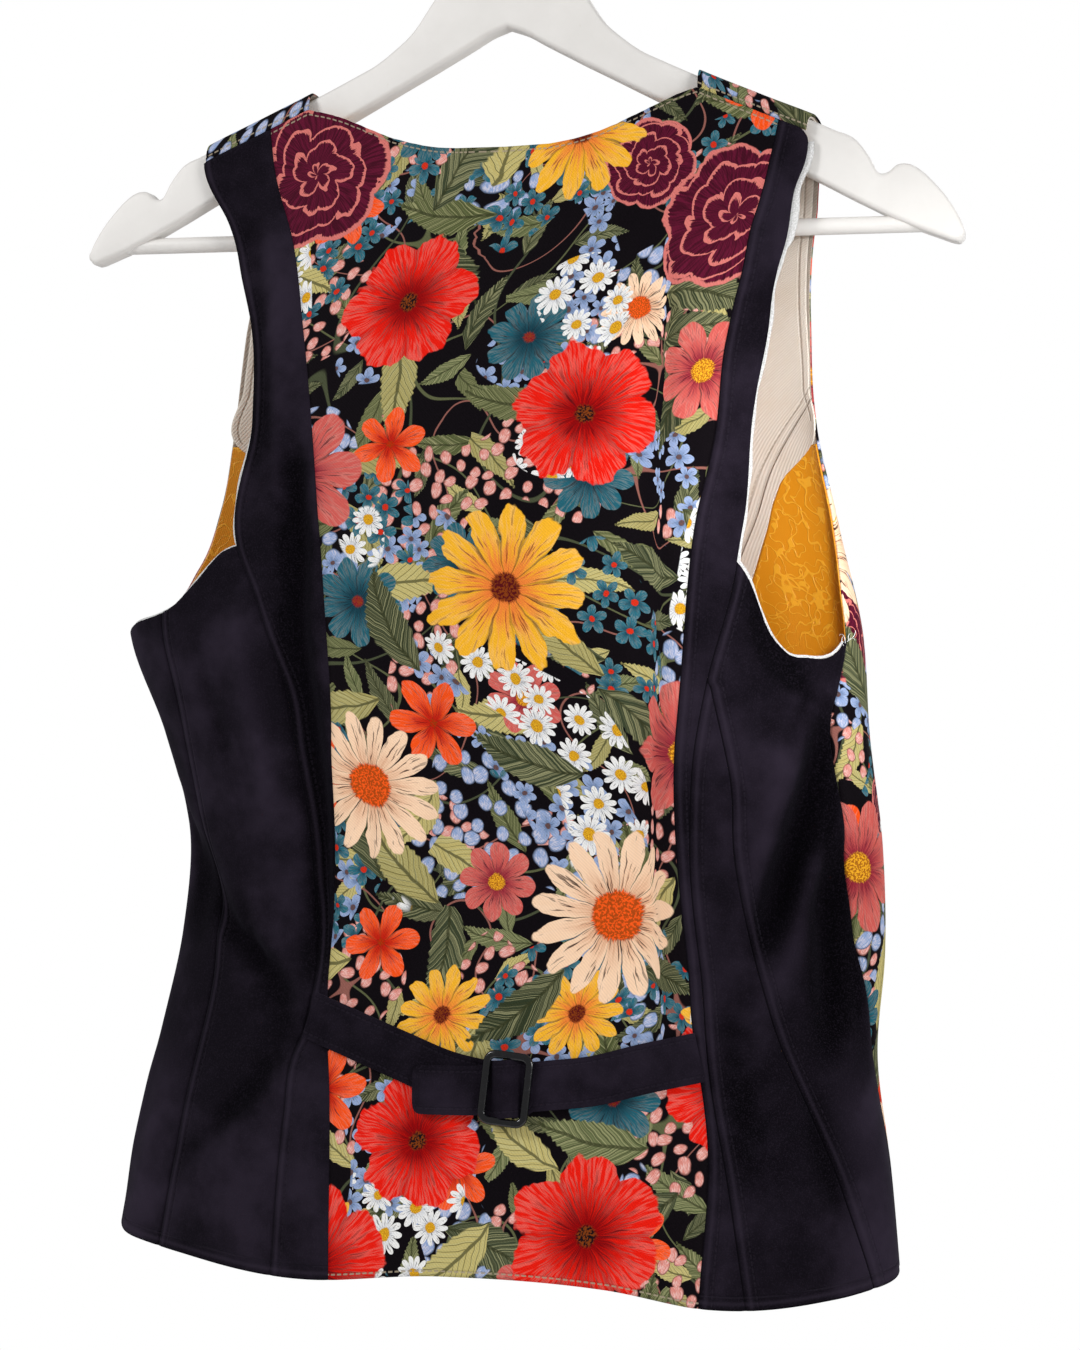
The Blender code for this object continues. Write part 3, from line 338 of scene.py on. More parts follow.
def cloth(angle, drop, off=0.0):
    """Points on the creased cloth, moved off it along the normal."""
    angle = np.asarray(angle, float)
    drop = np.asarray(drop, float) + 0 * angle
    return body(angle, drop) + outward(angle, drop) * (creases(angle, drop) + off)[..., None]


def board_edge(name, across):
    return smooth(np.divide(BOARD_EDGE["across"], 1000), np.divide(BOARD_EDGE[name], 1000), np.abs(across))


def shoulder_seam(across):
    """Drop of the seam just below the wooden arm, with the hanger turned about its pivot."""
    along_arm = across = np.asarray(across, float)
    for _ in range(3):
        height = PIVOT - board_edge("top", along_arm)
        along_arm = (across - height * math.sin(TILT)) / math.cos(TILT)
    return PIVOT + along_arm * math.sin(TILT) - height * math.cos(TILT) + SEAM_BELOW_ARM


def back_top(angle, drop):
    """Drop of the back's upper edge: the neckline between the neck points, then the shoulder seam."""
    across = body(angle, drop)[..., 0]
    point = np.sign(across) * NECK_HALF
    neck = smooth(*np.transpose(NECKLINE) / 1000, np.abs(across)) + TILT * across
    to_seam = shoulder_seam(point) - (NECKLINE[-1][1] / 1000 + TILT * point)
    neck = neck + to_seam * rise(np.abs(across), 0.075, NECK_HALF)
    return np.where(np.abs(across) < NECK_HALF, neck, shoulder_seam(across))

# Length round the body from the centre back, so that the print keeps its size on every piece
falls = np.linspace(0.12, 0.72, 61)
rings = body(np.tile(np.linspace(-200, 200, 401), (61, 1)), np.repeat(falls[:, None], 401, axis=1))
steps = size_of(np.diff(rings, axis=1))
ROUND = np.concatenate([np.zeros((61, 1)), np.cumsum(steps, axis=1)], axis=1)
ROUND = ROUND - ROUND[:, 200:201]


def round_length(angle, drop):
    across = np.clip(np.asarray(angle) + 200, 0, 399.999)
    down = np.clip((np.asarray(drop) - 0.12) / 0.01, 0, 59.999)
    column, row = across.astype(int), down.astype(int)
    part, part_down = across - column, down - row
    above, below = (ROUND[at, column] * (1 - part) + ROUND[at, column + 1] * part for at in (row, row + 1))
    return above * (1 - part_down) + below * part_down


def print_jump(angle, drop):
    """The tuck swallows a finger's breadth of print."""
    past = (angle - angle_down(FOLDS[0][2], drop)) * per_degree(angle, drop)
    shown = rise(drop, 0.2, 0.26) * (1 - rise(drop, 0.56, 0.62))
    return TUCK_TAKES * rise(past, -0.003, 0.003) * shown * (np.asarray(angle) < 60)


def panel_grid(low, high, top, columns, rows, end):
    """Angles and drops of a fine grid between two edges, from a top line to the hem."""
    angles = np.empty((rows, columns))
    drops = np.empty_like(angles)
    searched = np.linspace(0.12, 0.46, 1361)
    for column, share in enumerate(np.linspace(0, 1, columns)):
        def line(drop):
            return (1 - share) * low(drop) + share * high(drop)
        first = searched[int(np.argmax(searched > top(line(searched), searched)))]
        drops[:, column] = np.linspace(first, drop_round(HEM, line(0.7)) - end, rows)
        angles[:, column] = line(drops[:, column])
    return angles, drops


def laid_grid(points):
    """A grid of faces through rows of points, and the vertex of each point in turn."""
    rows, columns = points.shape[:2]
    form = bmesh.new()
    bmesh.ops.create_grid(form, x_segments=columns - 1, y_segments=rows - 1, size=0.5)
    form.verts.ensure_lookup_table()
    spots = [(-round(vert.co.y, 6), round(vert.co.x, 6)) for vert in form.verts]
    order = sorted(range(len(spots)), key=spots.__getitem__)
    for at, point in zip(order, points.reshape(-1, 3)):
        form.verts[at].co = point
    return form, np.array(order)


def made_piece(name, form, materials, node):
    """A piece of the one body, which stands for its node in the frame."""
    item = added(name, bpy.data.meshes.new(name))
    form.to_mesh(item.data)
    form.free()
    for material in materials:
        item.data.materials.append(material)
    item.data.shade_smooth()
    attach(item, "root")
    if node:
        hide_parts(node)
    return item


def sheet_piece(name, points, wall, place, measures, materials):
    """A fine sheet through a grid of points, walled inwards, with print lengths and edge distances."""
    form, order = laid_grid(points)
    item = made_piece(name + "_cloth", form, materials, name)
    for attribute, values in measures.items():
        spread = np.empty(len(order), np.float32)
        spread[order] = values.reshape(-1)
        item.data.attributes.new(attribute, "FLOAT", "POINT").data.foreach_set("value", spread)
    lengths = np.empty((len(order), 2), np.float32)
    lengths[order] = place.reshape(-1, 2)
    corner = np.empty(len(item.data.loops), np.int32)
    item.data.loops.foreach_get("vertex_index", corner)
    item.data.uv_layers.new(name="cloth").data.foreach_set("uv", lengths[corner].reshape(-1))
    thick = item.modifiers.new("wall", "SOLIDIFY")
    thick.thickness, thick.offset, thick.use_rim = wall, -1, True
    thick.material_offset = len(materials) - 1
    return item


def cut_area(angles, drops):
    """Flat area of the cut, read off the body without its creases."""
    flat = body(angles, drops)
    return float(size_of(np.cross(flat[1:, :-1] - flat[:-1, :-1], flat[:-1, 1:] - flat[:-1, :-1])).sum())


def hung_panel(name, low, high, top, columns, rows, wall, materials, slot="black_suede",
               sewn=("from_left", "from_right"), rests="hanger_board", off=0.0, end=0.0, arch=0, seam=None):
    """One cut piece on the hung form, off inside it. Arch is the side of the arm that it goes over, or 0."""
    angles, drops = panel_grid(low, high, top, columns, rows, end)
    scale = per_degree(angles, drops)
    measures = {"from_left": (angles - low(drops)) * scale, "from_right": (high(drops) - angles) * scale,
                "from_top": drops - drops[0], "from_hem": drops[-1] - drops, "standing": creases(angles, drops)}
    if seam:
        measures["past_seam"] = (angles * arch - angle_down(seam, drops)) * scale * 0.75
    dip = sum(-0.0007 * np.exp(-(measures[side] / 0.0014) ** 2) for side in sewn)
    lap = LAP_RISE * rise(angles, 156, 171) * rise(drops, V_POINT - 0.09, V_POINT - 0.01)
    points = cloth(angles, drops, dip + lap - off)
    lengths = round_length(angles, drops)
    place = points_of(lengths + print_jump(angles, drops), -drops)
    width, area = float(np.ptp(lengths, axis=1).max()), cut_area(angles, drops)
    if arch:
        area = area + width * 0.2 * 0.03
        points = np.concatenate([over_arm(angles, drops, off, arch), points])
        run = size_of(np.diff(points[:ARCH_ROWS + 1], axis=0))
        left = np.cumsum(run[::-1], axis=0)[::-1]
        for key, values in measures.items():
            measures[key] = np.concatenate([np.repeat(values[:1], ARCH_ROWS, axis=0), values])
        measures["from_top"] = measures["from_top"] + left[0]
        measures["from_top"][:ARCH_ROWS] -= left
        place = np.concatenate([np.repeat(place[:1], ARCH_ROWS, axis=0), place])
        place[:ARCH_ROWS, :, 1] += left
    item = sheet_piece(name, points, wall, place, measures, materials)


class Shade:
    """A value on a material's node tree. Sums on it add Math nodes to that tree."""

    def __init__(self, socket):
        self.socket = socket

    def node(self, kind, *values, **settings):
        """Adds a node, plugs the values into its first sockets and gives the node."""
        made = self.socket.id_data.nodes.new("ShaderNode" + kind)
        for name, value in settings.items():
            setattr(made, name, value)
        for place, value in zip(made.inputs, values):
            plug(place, value)
        return made

    def first(self, kind, *values, **settings):
        return Shade(self.node(kind, *values, **settings).outputs[0])

    def sum(self, operation, *others):
        return self.first("Math", self, *others, operation=operation)

    __add__, __sub__, __mul__, __truediv__, __pow__, __abs__ = (
        lambda self, *other, way=way: self.sum(way, *other)
        for way in ("ADD", "SUBTRACT", "MULTIPLY", "DIVIDE", "POWER", "ABSOLUTE"))
    __radd__, __rmul__ = __add__, __mul__

    def __rsub__(self, other):
        return self.sum("MULTIPLY_ADD", -1, other)

    def above(self, start, soft):
        """0 up to start, then 1 after a soft step."""
        return self.first("MapRange", self, start, start + soft, interpolation_type="SMOOTHSTEP")

    def mix(self, under, over):
        """From one colour to another by this share."""
        made = self.node("Mix", data_type="RGBA")
        for place, value in zip((made.inputs[0], made.inputs[6], made.inputs[7]), (self, under, over)):
            plug(place, value)
        return Shade(made.outputs[2])

    def pick(self, colours):
        """One of several colours, by this chance."""
        made = self.node("ValToRGB", self)
        made.color_ramp.interpolation = "CONSTANT"
        while len(made.color_ramp.elements) < len(colours):
            made.color_ramp.elements.new(0.5)
        for number, colour in enumerate(colours):
            made.color_ramp.elements[number].position = number / len(colours)
            made.color_ramp.elements[number].color = (*colour, 1)
        return Shade(made.outputs[0])

    def xyz(self, y, z=0.0):
        return self.first("CombineXYZ", self, y, z)

    def split(self):
        return [Shade(part) for part in self.node("SeparateXYZ", self).outputs]

    def spot(self):
        """The point on the piece, in metres."""
        return Shade(self.node("TexCoord").outputs["Object"])

    def measured(self, name):
        return Shade(self.node("Attribute", attribute_name=name).outputs["Fac"])

    def moved(self, shift, turned=0.0):
        return self.first("Mapping", self, (*shift, 0), (0, 0, turned))

    def noise(self, scale, detail=1.0, rough=0.5, flat=True):
        made = self.node("TexNoise", self, noise_dimensions="2D" if flat else "3D")
        for name, value in (("Scale", scale), ("Detail", detail), ("Roughness", rough)):
            made.inputs[name].default_value = value
        return Shade(made.outputs[0])

    def ribs(self, pitch, direction="X", wander=0.0):
        """Threads side by side."""
        made = self.node("TexWave", self, 0.314 / pitch, wander, bands_direction=direction)
        return Shade(made.outputs["Fac"])

    def use(self, group, **values):
        made = self.node("Group", node_tree=group)
        for name, value in values.items():
            plug(made.inputs[name], value)
        return [Shade(socket) for socket in made.outputs]


def plug(place, value):
    if isinstance(value, Shade):
        place.id_data.links.new(value.socket, place)
    elif isinstance(value, tuple):
        place.default_value = (*value, 1)[:len(place.default_value)]
    else:
        place.default_value = value


def shader_group(name, values, colours=(), gives=("Mask", "Color"), vectors=()):
    """A shader group, a Shade for each of its inputs, and the sockets it gives out."""
    group = bpy.data.node_groups.new(name, "ShaderNodeTree")
    for labels, kind in ((values, "Float"), (vectors, "Vector"), (colours, "Color")):
        for label in labels:
            group.interface.new_socket(label, in_out="INPUT", socket_type="NodeSocket" + kind)
    for label in gives:
        kind = "Color" if label == "Color" else "Float"
        group.interface.new_socket(label, in_out="OUTPUT", socket_type="NodeSocket" + kind)
    given = group.nodes.new("NodeGroupInput")
    sockets = [Shade(socket) for socket in given.outputs if socket.name]
    return group, sockets, group.nodes.new("NodeGroupOutput").inputs


def new_material(name, gloss):
    """A material, its surface's sockets, and the cloth's own lengths in metres."""
    material = bpy.data.materials.new(name)
    material.use_nodes = True
    surface = material.node_tree.nodes["Principled BSDF"].inputs
    surface["Specular IOR Level"].default_value = gloss
    lengths = material.node_tree.nodes.new("ShaderNodeUVMap")
    lengths.uv_map = "cloth"
    return material, surface, Shade(lengths.outputs[0])


def finish(surface, colour, rough, height, relief):
    """Gives the surface its colour, roughness and relief, in metres for a height of 1."""
    bump = height.node("Bump")
    plug(bump.inputs["Distance"], relief)
    plug(bump.inputs["Height"], height)
    for label, value in (("Base Color", colour), ("Roughness", rough), ("Normal", Shade(bump.outputs[0]))):
        plug(surface[label], value)

# A flower is drawn round its own centre in long thread strokes. Reach is 1 at its tips and
# Turn is in radians. Form holds the petals (of 20), notch and bluntness, and Finish the
# raggedness, middle and dark lines.
flower, sockets, made = shader_group("flower", ("Reach", "Turn", "Chance", "Wave", "Strokes"),
                                     ("Petal", "Deep", "Middle"), vectors=("Form", "Finish"))
reach, turn, chance, wave, strokes, form, ending, petal, deep, middle = sockets
count, notch, blunt = form.split()
ragged, heart, lines = ending.split()
lobes = abs((turn * (count * 20).sum("ROUND") * 0.5).sum("COSINE")) ** blunt
rim = notch + (1 - notch) * lobes + (wave - 0.5) * ragged
stroke = (turn * strokes).xyz(reach * 2.2 + chance * 57).noise(1.0, 2.0, 0.6)
share = reach / rim
colour = (stroke.above(0.44, 0.16) * 0.1).mix(petal, (1, 0.85, 0.7))
colour = ((0.98 - share) + (stroke - 0.5) * 0.9).above(0.22, 0.62).mix(colour, deep)
between_petals = (0.5 - lobes).above(0.0, 0.3) * stroke.above(0.32, 0.2)
colour = (between_petals * lines).mix(colour, (0.012, 0.003, 0.006))
dark = stroke.above(0.63, 0.03) * lines * (1 - (share - 0.6).above(0, 0.35) * 0.5)
colour = dark.mix(colour, (0.01, 0.005, 0.007))
spot = (reach * turn.sum("COSINE")).xyz(reach * turn.sum("SINE"))
speckled = (spot.noise(30.0).above(0.44, 0.1) * 0.75).mix(middle, (0.25, 0.05, 0.004))
colour = (heart - reach - (stroke - 0.5) * 0.14).above(-0.01, 0.03).mix(colour, speckled)
plug(made["Mask"], (rim - reach).above(0.0, 0.03))
plug(made["Color"], colour)

# A rose is a swirl of wavy petals, each with a stitched pink rim.
rose, (reach, turn, chance, wave), made = shader_group("rose", ("Reach", "Turn", "Chance", "Wave"))
stroke = (turn * 26).xyz(reach * 3 + chance * 57).noise(1.0, 2.0, 0.6)
outer = 0.86 + 0.14 * abs((turn * 3).sum("SINE")) ** 0.7 + (wave - 0.5) * 0.12
waves = abs((turn * 2.5 + reach * 5).sum("SINE")) ** 0.7
swirl = reach / outer * 4.0 + turn * 0.15915 - waves * 0.55 + (wave - 0.5) * 0.8
rim = (swirl.sum("FRACT") + (stroke - 0.5) * 0.3).above(0.8, 0.04)
rim = rim.sum("MAXIMUM", (reach / outer + (stroke - 0.5) * 0.08).above(0.91, 0.03))
red = stroke.above(0.35, 0.3).mix((0.05, 0.003, 0.012), (0.11, 0.006, 0.026))
plug(made["Mask"], (outer - reach).above(0.0, 0.02))
plug(made["Color"], rim.mix(red, (0.62, 0.17, 0.15)))

# A leaf lies along its own length: Along and Side run from -1 to 1.
leaf, (along, side, chance), made = shader_group("leaf", ("Along", "Side", "Chance"))
off_rib = abs(side)
slant = along * 6 - off_rib * 3.2
width = (1 - along * along).sum("MAXIMUM", 0) * (1 - along * 0.3) - slant.sum("FRACT") * 0.12
green = chance.pick([(0.085, 0.1, 0.036), (0.04, 0.052, 0.026), (0.5, 0.42, 0.15), (0.115, 0.135, 0.055),
                     (0.36, 0.31, 0.11), (0.028, 0.038, 0.018)])
strand = (slant * 2).xyz(chance * 40).noise(2.2, 2.0)
green = (strand.above(0.42, 0.25) * 0.45).mix(green, (0.52, 0.5, 0.26))
vein = (slant + 0.5).sum("FRACT").above(0.86, 0.06).sum("MAXIMUM", (0.1 - off_rib).above(0.0, 0.05))
plug(made["Mask"], (width - off_rib).above(0.0, 0.07))
plug(made["Color"], (vein * 0.75).mix(green, (0.03, 0.034, 0.012)))

# Each kind's form, its finish, and the colours of its petals, their depth and its middle
BLOOM_SOCKETS = ("Form", "Finish", "Petal", "Deep", "Middle")
BLOOMS = {
    "poppy": ((0.3, 0.8, 0.7), (0.24, 0.13, 0.3), (0.76, 0.01, 0.003), (0.24, 0, 0.001), (0.008, 0.003, 0.005)),
    "coral": ((0.4, 0.52, 0.5), (0.1, 0.22, 0.6), (0.58, 0.1, 0.085), (0.24, 0.012, 0.03), (0.86, 0.4, 0.02)),
    "cream": ((0.75, 0.36, 0.42), (0.12, 0.3, 0.9), (0.9, 0.62, 0.42), (0.66, 0.34, 0.2), (0.88, 0.1, 0.01)),
    "golden": ((0.6, 0.58, 0.7), (0.3, 0.18, 0.55), (0.86, 0.43, 0.022), (0.8, 0.19, 0.035), (0.09, 0.004, 0.006)),
    "orange": ((0.3, 0.34, 0.8), (0.14, 0.1, 0.55), (0.87, 0.08, 0.008), (0.5, 0.012, 0.004), (0.5, 0.01, 0)),
    "teal": ((0.45, 0.62, 0.6), (0.16, 0.13, 0.6), (0.014, 0.105, 0.145), (0.006, 0.04, 0.06), (0.22, 0.008, 0.02)),
    "daisy": ((0.6, 0.34, 0.42), (0.06, 0.3, 0.8), (0.8, 0.8, 0.79), (0.55, 0.57, 0.62), (0.88, 0.5, 0.02)),
    "blue": ((0.25, 0.28, 0.55), (0.05, 0.2, 0.35), (0.26, 0.35, 0.57), (0.14, 0.21, 0.36), (0.02, 0.07, 0.1)),
    "tiny": ((0.25, 0.3, 0.65), (0.08, 0.2, 0.4), (0.02, 0.13, 0.18), (0.01, 0.06, 0.09), (0.8, 0.012, 0.012)),
}

# The printed garden is a generic one of ordinary flowers, laid out by chance: stems, leaves
# and small flowers on black, then the larger flowers over them.
garden, (flat,), made = shader_group("garden print", (), (), ("Color",), ("Lengths",))
wave = flat.noise(110.0, 2.0)
bend = ((wave - 0.5) * 0.0022).xyz((flat.noise(90.0) - 0.5) * 0.0022)
bent = flat.first("VectorMath", flat, bend, operation="ADD")


def scattered(spacing, shift, turned, jitter, radius):
    """One motif to a cell: the way from its centre, three chances, and its size."""
    moved = bent.moved(shift, turned)
    cells = moved.node("TexVoronoi", voronoi_dimensions="2D")
    for label, value in (("Vector", moved), ("Scale", 1 / spacing), ("Randomness", jitter)):
        plug(cells.inputs[label], value)
    away = moved.first("VectorMath", moved, Shade(cells.outputs["Position"]), operation="SUBTRACT")
    chances = Shade(cells.outputs["Color"]).split()
    return *away.split()[:2], chances, chances[1] * (radius * 0.3) + radius * 0.8


def along_own_way(x, y, way):
    cosine, sine = way.sum("COSINE"), way.sum("SINE")
    return x * cosine + y * sine, y * cosine - x * sine


def bunches(scale, shift, least):
    """Soft patches in which a small flower grows."""
    return flat.moved(shift).noise(scale, 0.0).above(least, 0.004)


def flower_layer(under, kinds, spacing, shift, jitter, radius, strokes, patches=None, shown=1.0, turned=0.5):
    """One scattering of flowers over what lies under them."""
    x, y, (one, two, three), size = scattered(spacing, shift, turned, jitter, radius)
    reach, turn = (x * x + y * y) ** 0.5 / size, y.sum("ARCTAN2", x) + one * 6.28
    drawn = {"Reach": reach, "Turn": turn, "Chance": two, "Wave": wave}
    shown_here = one.sum("LESS_THAN", shown)
    if patches:
        shown_here = shown_here * bunches(*patches)
    looks = zip(*(BLOOMS["poppy" if kind == "rose" else kind] for kind in kinds))
    picked = {label: three.pick(values) for label, values in zip(BLOOM_SOCKETS, looks)}
    mask, colour = bent.use(flower, Strokes=strokes, **drawn, **picked)
    if "rose" in kinds:
        first, count = kinds.index("rose"), len(kinds)
        is_rose = three.sum("GREATER_THAN", first / count) * three.sum("LESS_THAN", (first + 1) / count)
        rose_mask, rose_colour = bent.use(rose, **drawn)
        mask = mask * (1 - is_rose) + rose_mask * is_rose
        colour = is_rose.mix(colour, rose_colour)
    return (mask * shown_here).mix(under, colour)


def leaf_layer(under, spacing, shift, length, slim, shown):
    """One scattering of leaves, each turned its own way."""
    x, y, (one, two, three), size = scattered(spacing, shift, 0.9, 0.75, length)
    along, side = along_own_way(x, y, one * 6.28)
    along = along / size
    mask, colour = bent.use(leaf, Along=along, Side=side / (size * slim) + along * along * 0.4, Chance=three)
    return (mask * two.sum("LESS_THAN", shown)).mix(under, colour)


def bud_layer(under, spacing, shift, radius, colour, patches, slim):
    """Oval buds or berries in loose bunches, with strokes of light."""
    x, y, (one, two, three), size = scattered(spacing, shift, 0.3, 0.55, radius)
    along, side = along_own_way(x, y, one * 1.6 + 0.6)
    side = side / slim
    reach = (along * along + side * side) ** 0.5 / size
    grain = (along * 300).xyz(side * 1400).noise(1.0)
    tone = (grain.above(0.42, 0.2) * 0.35).mix(colour, (1, 0.85, 0.8))
    tone = (reach - 0.7).above(0.0, 0.22).mix(tone, tuple(part * 0.35 for part in colour))
    return ((1 - reach).above(0.0, 0.12) * bunches(*patches)).mix(under, tone)

colour = flat.noise(900.0).mix((0.0016, 0.0009, 0.0016), (0.004, 0.0022, 0.004))
for scale, shift, tint in ((16, (0.31, 0.07), (0.1, 0.11, 0.05)), (20, (1.7, 0.9), (0.26, 0.1, 0.08)),
                           (13, (2.9, 1.3), (0.06, 0.07, 0.036))):
    stem = (0.0075 - abs(flat.moved(shift).noise(scale, 0.0) - 0.5)).above(0.0, 0.004)
    colour = stem.mix(colour, tint)
for layer, *looks in (
    (leaf_layer, 0.03, (0.011, 0.004), 0.015, 0.32, 0.8),
    (leaf_layer, 0.037, (0.143, 0.271), 0.0205, 0.3, 0.85),
    (bud_layer, 0.0088, (0.4, 0.2), 0.004, (0.66, 0.24, 0.2), (17, (4.1, 0.3), 0.62), 0.72),
    (bud_layer, 0.01, (0.9, 0.5), 0.0046, (0.26, 0.35, 0.57), (15, (7.7, 2.2), 0.63), 0.82),
    (flower_layer, ["blue"], 0.014, (0.3, 0.8), 0.6, 0.0068, 8, (13, (1.3, 5.1), 0.62)),
    (flower_layer, ["tiny"], 0.0155, (0.7, 0.1), 0.6, 0.0078, 8, (13, (9.2, 3.3), 0.62)),
    (leaf_layer, 0.054, (0.371, 0.113), 0.027, 0.36, 0.75),
    (flower_layer, ["orange", "cream", "rose", "coral", "teal", "golden", "orange"], 0.066, (0.217, 0.432), 0.5,
     0.0225, 20, None, 0.82, 1.1),
    (flower_layer, ["daisy"], 0.0185, (0.5, 0.4), 0.5, 0.009, 10, (12, (3.4, 8.8), 0.69)),
    (leaf_layer, 0.078, (0.671, 0.213), 0.03, 0.38, 0.5),
    (flower_layer, ["poppy", "cream", "coral", "rose", "golden", "poppy"], 0.106, (0.525, 0.118), 0.32,
     0.037, 20, None, 0.92, 0.6),
):
    colour = layer(colour, *looks)
plug(made["Color"], colour)

# A stitch row is short threads a set way in from an edge, in a furrow of their own.
stitch_row, (distance, along, way_in, pitch), made = shader_group(
    "stitch row", ("Distance", "Along", "In", "Pitch"), gives=("Mask", "Furrow"))
off_row = abs(distance - way_in)
dash = (0.36 - abs((along / pitch).sum("FRACT") - 0.5)).above(0.0, 0.06)
plug(made["Mask"], dash * (0.00046 - off_row).above(0.0, 0.00012))
plug(made["Furrow"], (0.0011 - off_row).above(0.0, 0.0011))


def stitched(distance, along, way_in, pitch=0.003):
    return along.use(stitch_row, Distance=distance, Along=along, In=way_in, Pitch=pitch)

floral_print, surface, lengths = new_material("floral print", 0.05)
across_cloth = lengths.split()[0]
fibre = lengths.ribs(0.0008, "DIAGONAL")
thread, furrow = stitched(lengths.measured("from_top"), across_cloth, 0.0022, 0.0032)
hem_thread, hem_furrow = stitched(lengths.measured("from_hem"), across_cloth, 0.0024, 0.0032)
colour = (fibre * 0.1).mix(lengths.use(garden, Lengths=lengths)[0], (0.006, 0.004, 0.006))
finish(surface, (thread.sum("MAXIMUM", hem_thread) * 0.8).mix(colour, (0.34, 0.28, 0.2)), fibre * 0.1 + 0.68,
       fibre * 0.08 + lengths.noise(900.0) * 0.12 - furrow.sum("MAXIMUM", hem_furrow) * 0.9, 0.0005)

# Mustard satin lines it, with a self-coloured woven scroll that shows by its gloss.
mustard_satin, surface, lengths = new_material("mustard satin", 0.4)
scrolls = [(0.022 - abs(lengths.moved(shift).noise(scale) - 0.5)).above(0.0, 0.012)
           for scale, shift in ((70, (0.2, 0.6)), (105, (1.4, 0.3)))]
figure = scrolls[0].sum("MAXIMUM", scrolls[1])
finish(surface, figure.mix((0.69, 0.265, 0.006), (0.82, 0.39, 0.026)), 0.52 - figure * 0.14,
       figure * 0.5 + lengths.ribs(0.001) * 0.12, 0.0003)


def side_of(name):
    return lambda drop: edge(name, drop)


hung_panel("back_centre", side_of("centre left"), side_of("centre right"), back_top, 118, 230, PRINT + LINING,
           [floral_print, mustard_satin], "floral_print")

# The suede panels are cut to the figure and joined by welted seams, each turned to one side
# and stitched down twice. The strips run from the shoulders to the hem.
TIP_ROUND = 0.0055


def rounded_top(angle, drop):
    """The shoulder seam, with the strip's outer corner turned in round."""
    away = np.clip((edge("strip right", drop) - angle) * per_degree(angle, drop) / TIP_ROUND, 0, 1)
    return back_top(angle, drop) + TIP_ROUND * (1 - np.sqrt(1 - (1 - away) ** 2))

nap, (place,), made = shader_group("nap", (), (), ("Brushed", "Pile"), ("Place",))
plug(made["Brushed"], place.noise(16.0, 4.0, 0.62, flat=False).above(0.36, 0.3))
plug(made["Pile"], place.noise(1500.0, 1.0, 0.7, flat=False))


def suede(name, sides, way_in, along_way, welted):
    """Near-black suede with painted fold shade, and a stitch row and a folded welt a set way in from the named
    edges.
    """
    material, surface, lengths = new_material(name, 0.04)
    along = lengths.split()[along_way]
    brushed, pile = lengths.use(nap, Place=lengths.spot())
    # Painted shade and light: the suede is made darker in the hollows of its folds and lighter on their ridges, by
    # the fold height, over the brushed nap.
    brushed = (brushed * 0.4 + lengths.measured("standing") * 95 + 0.22).above(0.0, 1.0)
    colour = brushed.mix((0.0009, 0.0006, 0.0013), (0.0235, 0.0172, 0.0295))
    colour = (pile.above(0.45, 0.3) * 0.3).mix(colour, (0.024, 0.018, 0.029))
    height = pile * 0.16
    for side in sides:
        distance = lengths.measured(side)
        thread, furrow = stitched(distance, along, way_in)
        height = height - furrow * 0.9 + thread * 0.5
        colour = (thread * 0.15).mix(colour, (0.036, 0.028, 0.042))
        if welted:
            height = height + (way_in - distance).above(-0.0004, 0.0008) * 0.9
            # Painted highlight along the crest of the welt, and painted shadow along the seam line beside it.
            welt_highlight, seam = 0.0016 - abs(distance - 0.003), 0.0013 - distance
            colour = (welt_highlight.above(0.0, 0.0016) * 0.3).mix(colour, (0.034, 0.026, 0.041))
            colour = (seam.above(0.0, 0.0013) * 0.85).mix(colour, (0.0008, 0.0005, 0.0012))
    finish(surface, colour, 0.94 - brushed * 0.16, height, 0.0005)
    for label, value in (("Weight", 0.04), ("Roughness", 0.5), ("Tint", (0.5, 0.45, 0.66))):
        plug(surface["Sheen " + label], value)
    return material


def side_panel_start(drop):
    """The right side panel begins at the long seam and, below the fork, at its own seam."""
    turned = rise(drop, FORK - 0.002, FORK + 0.002)
    return edge("strip right", drop) * (1 - turned) + edge("side back right", drop) * turned


def top_of(side):
    return lambda angle, drop: drop_round(TOPS[side], angle)


def level_top(start):
    return lambda angle, drop: start + 0 * angle

black_suede = suede("black suede", ("from_left", "from_hem"), 0.0058, 1, True)
for name, low, high, top, columns, rows, rests in (
    ("strip_left", side_of("strip left"), side_of("centre left"), back_top, 44, 230, None),
    ("strip_right", side_of("centre right"), side_of("strip right"), rounded_top, 44, 230, None),
    ("middle_left", side_of("side back left"), side_of("strip left"), top_of("left"), 52, 170, "left"),
    ("side_left", side_of("side left"), side_of("side back left"), top_of("left"), 40, 170, "left"),
    ("middle_right", side_of("strip right"), side_of("side back right"), level_top(FORK - 0.0025), 52, 170, "right"),
    ("side_right", side_panel_start, side_of("side right"), top_of("right"), 64, 170, "right"),
):
    hung_panel("back_" + name, low, high, top, columns, rows, SUEDE, [black_suede, mustard_satin],
               rests="back_strip_%s_cloth" % rests if rests else "hanger_board")

# The fronts are cut from the same print. Each goes up over the wooden arm to the shoulder seam.
# Inside, a cream twill facing runs from the neck and the front edge, and a mustard lining goes on to the side.
BACK_SHOULDER = {1: 0.0515, -1: 0.056}
UNDER_PRINT, UNDER_HEM = PRINT + 0.0004, 0.012
LINING_TOP = {1: 0.311, -1: 0.3015}
FACING_SEAM = ((150, 30), (240, 78), (270, 95), (287.5, 105.8), (303.3, 116.4), (319.8, 125.4), (344.8, 133.7),
               (360, 138.4), (420, 149), (710, 157))


def on_front(across, side, drop):
    """The front's angle at a distance across."""
    return side * 180 - angle_at(across, drop)


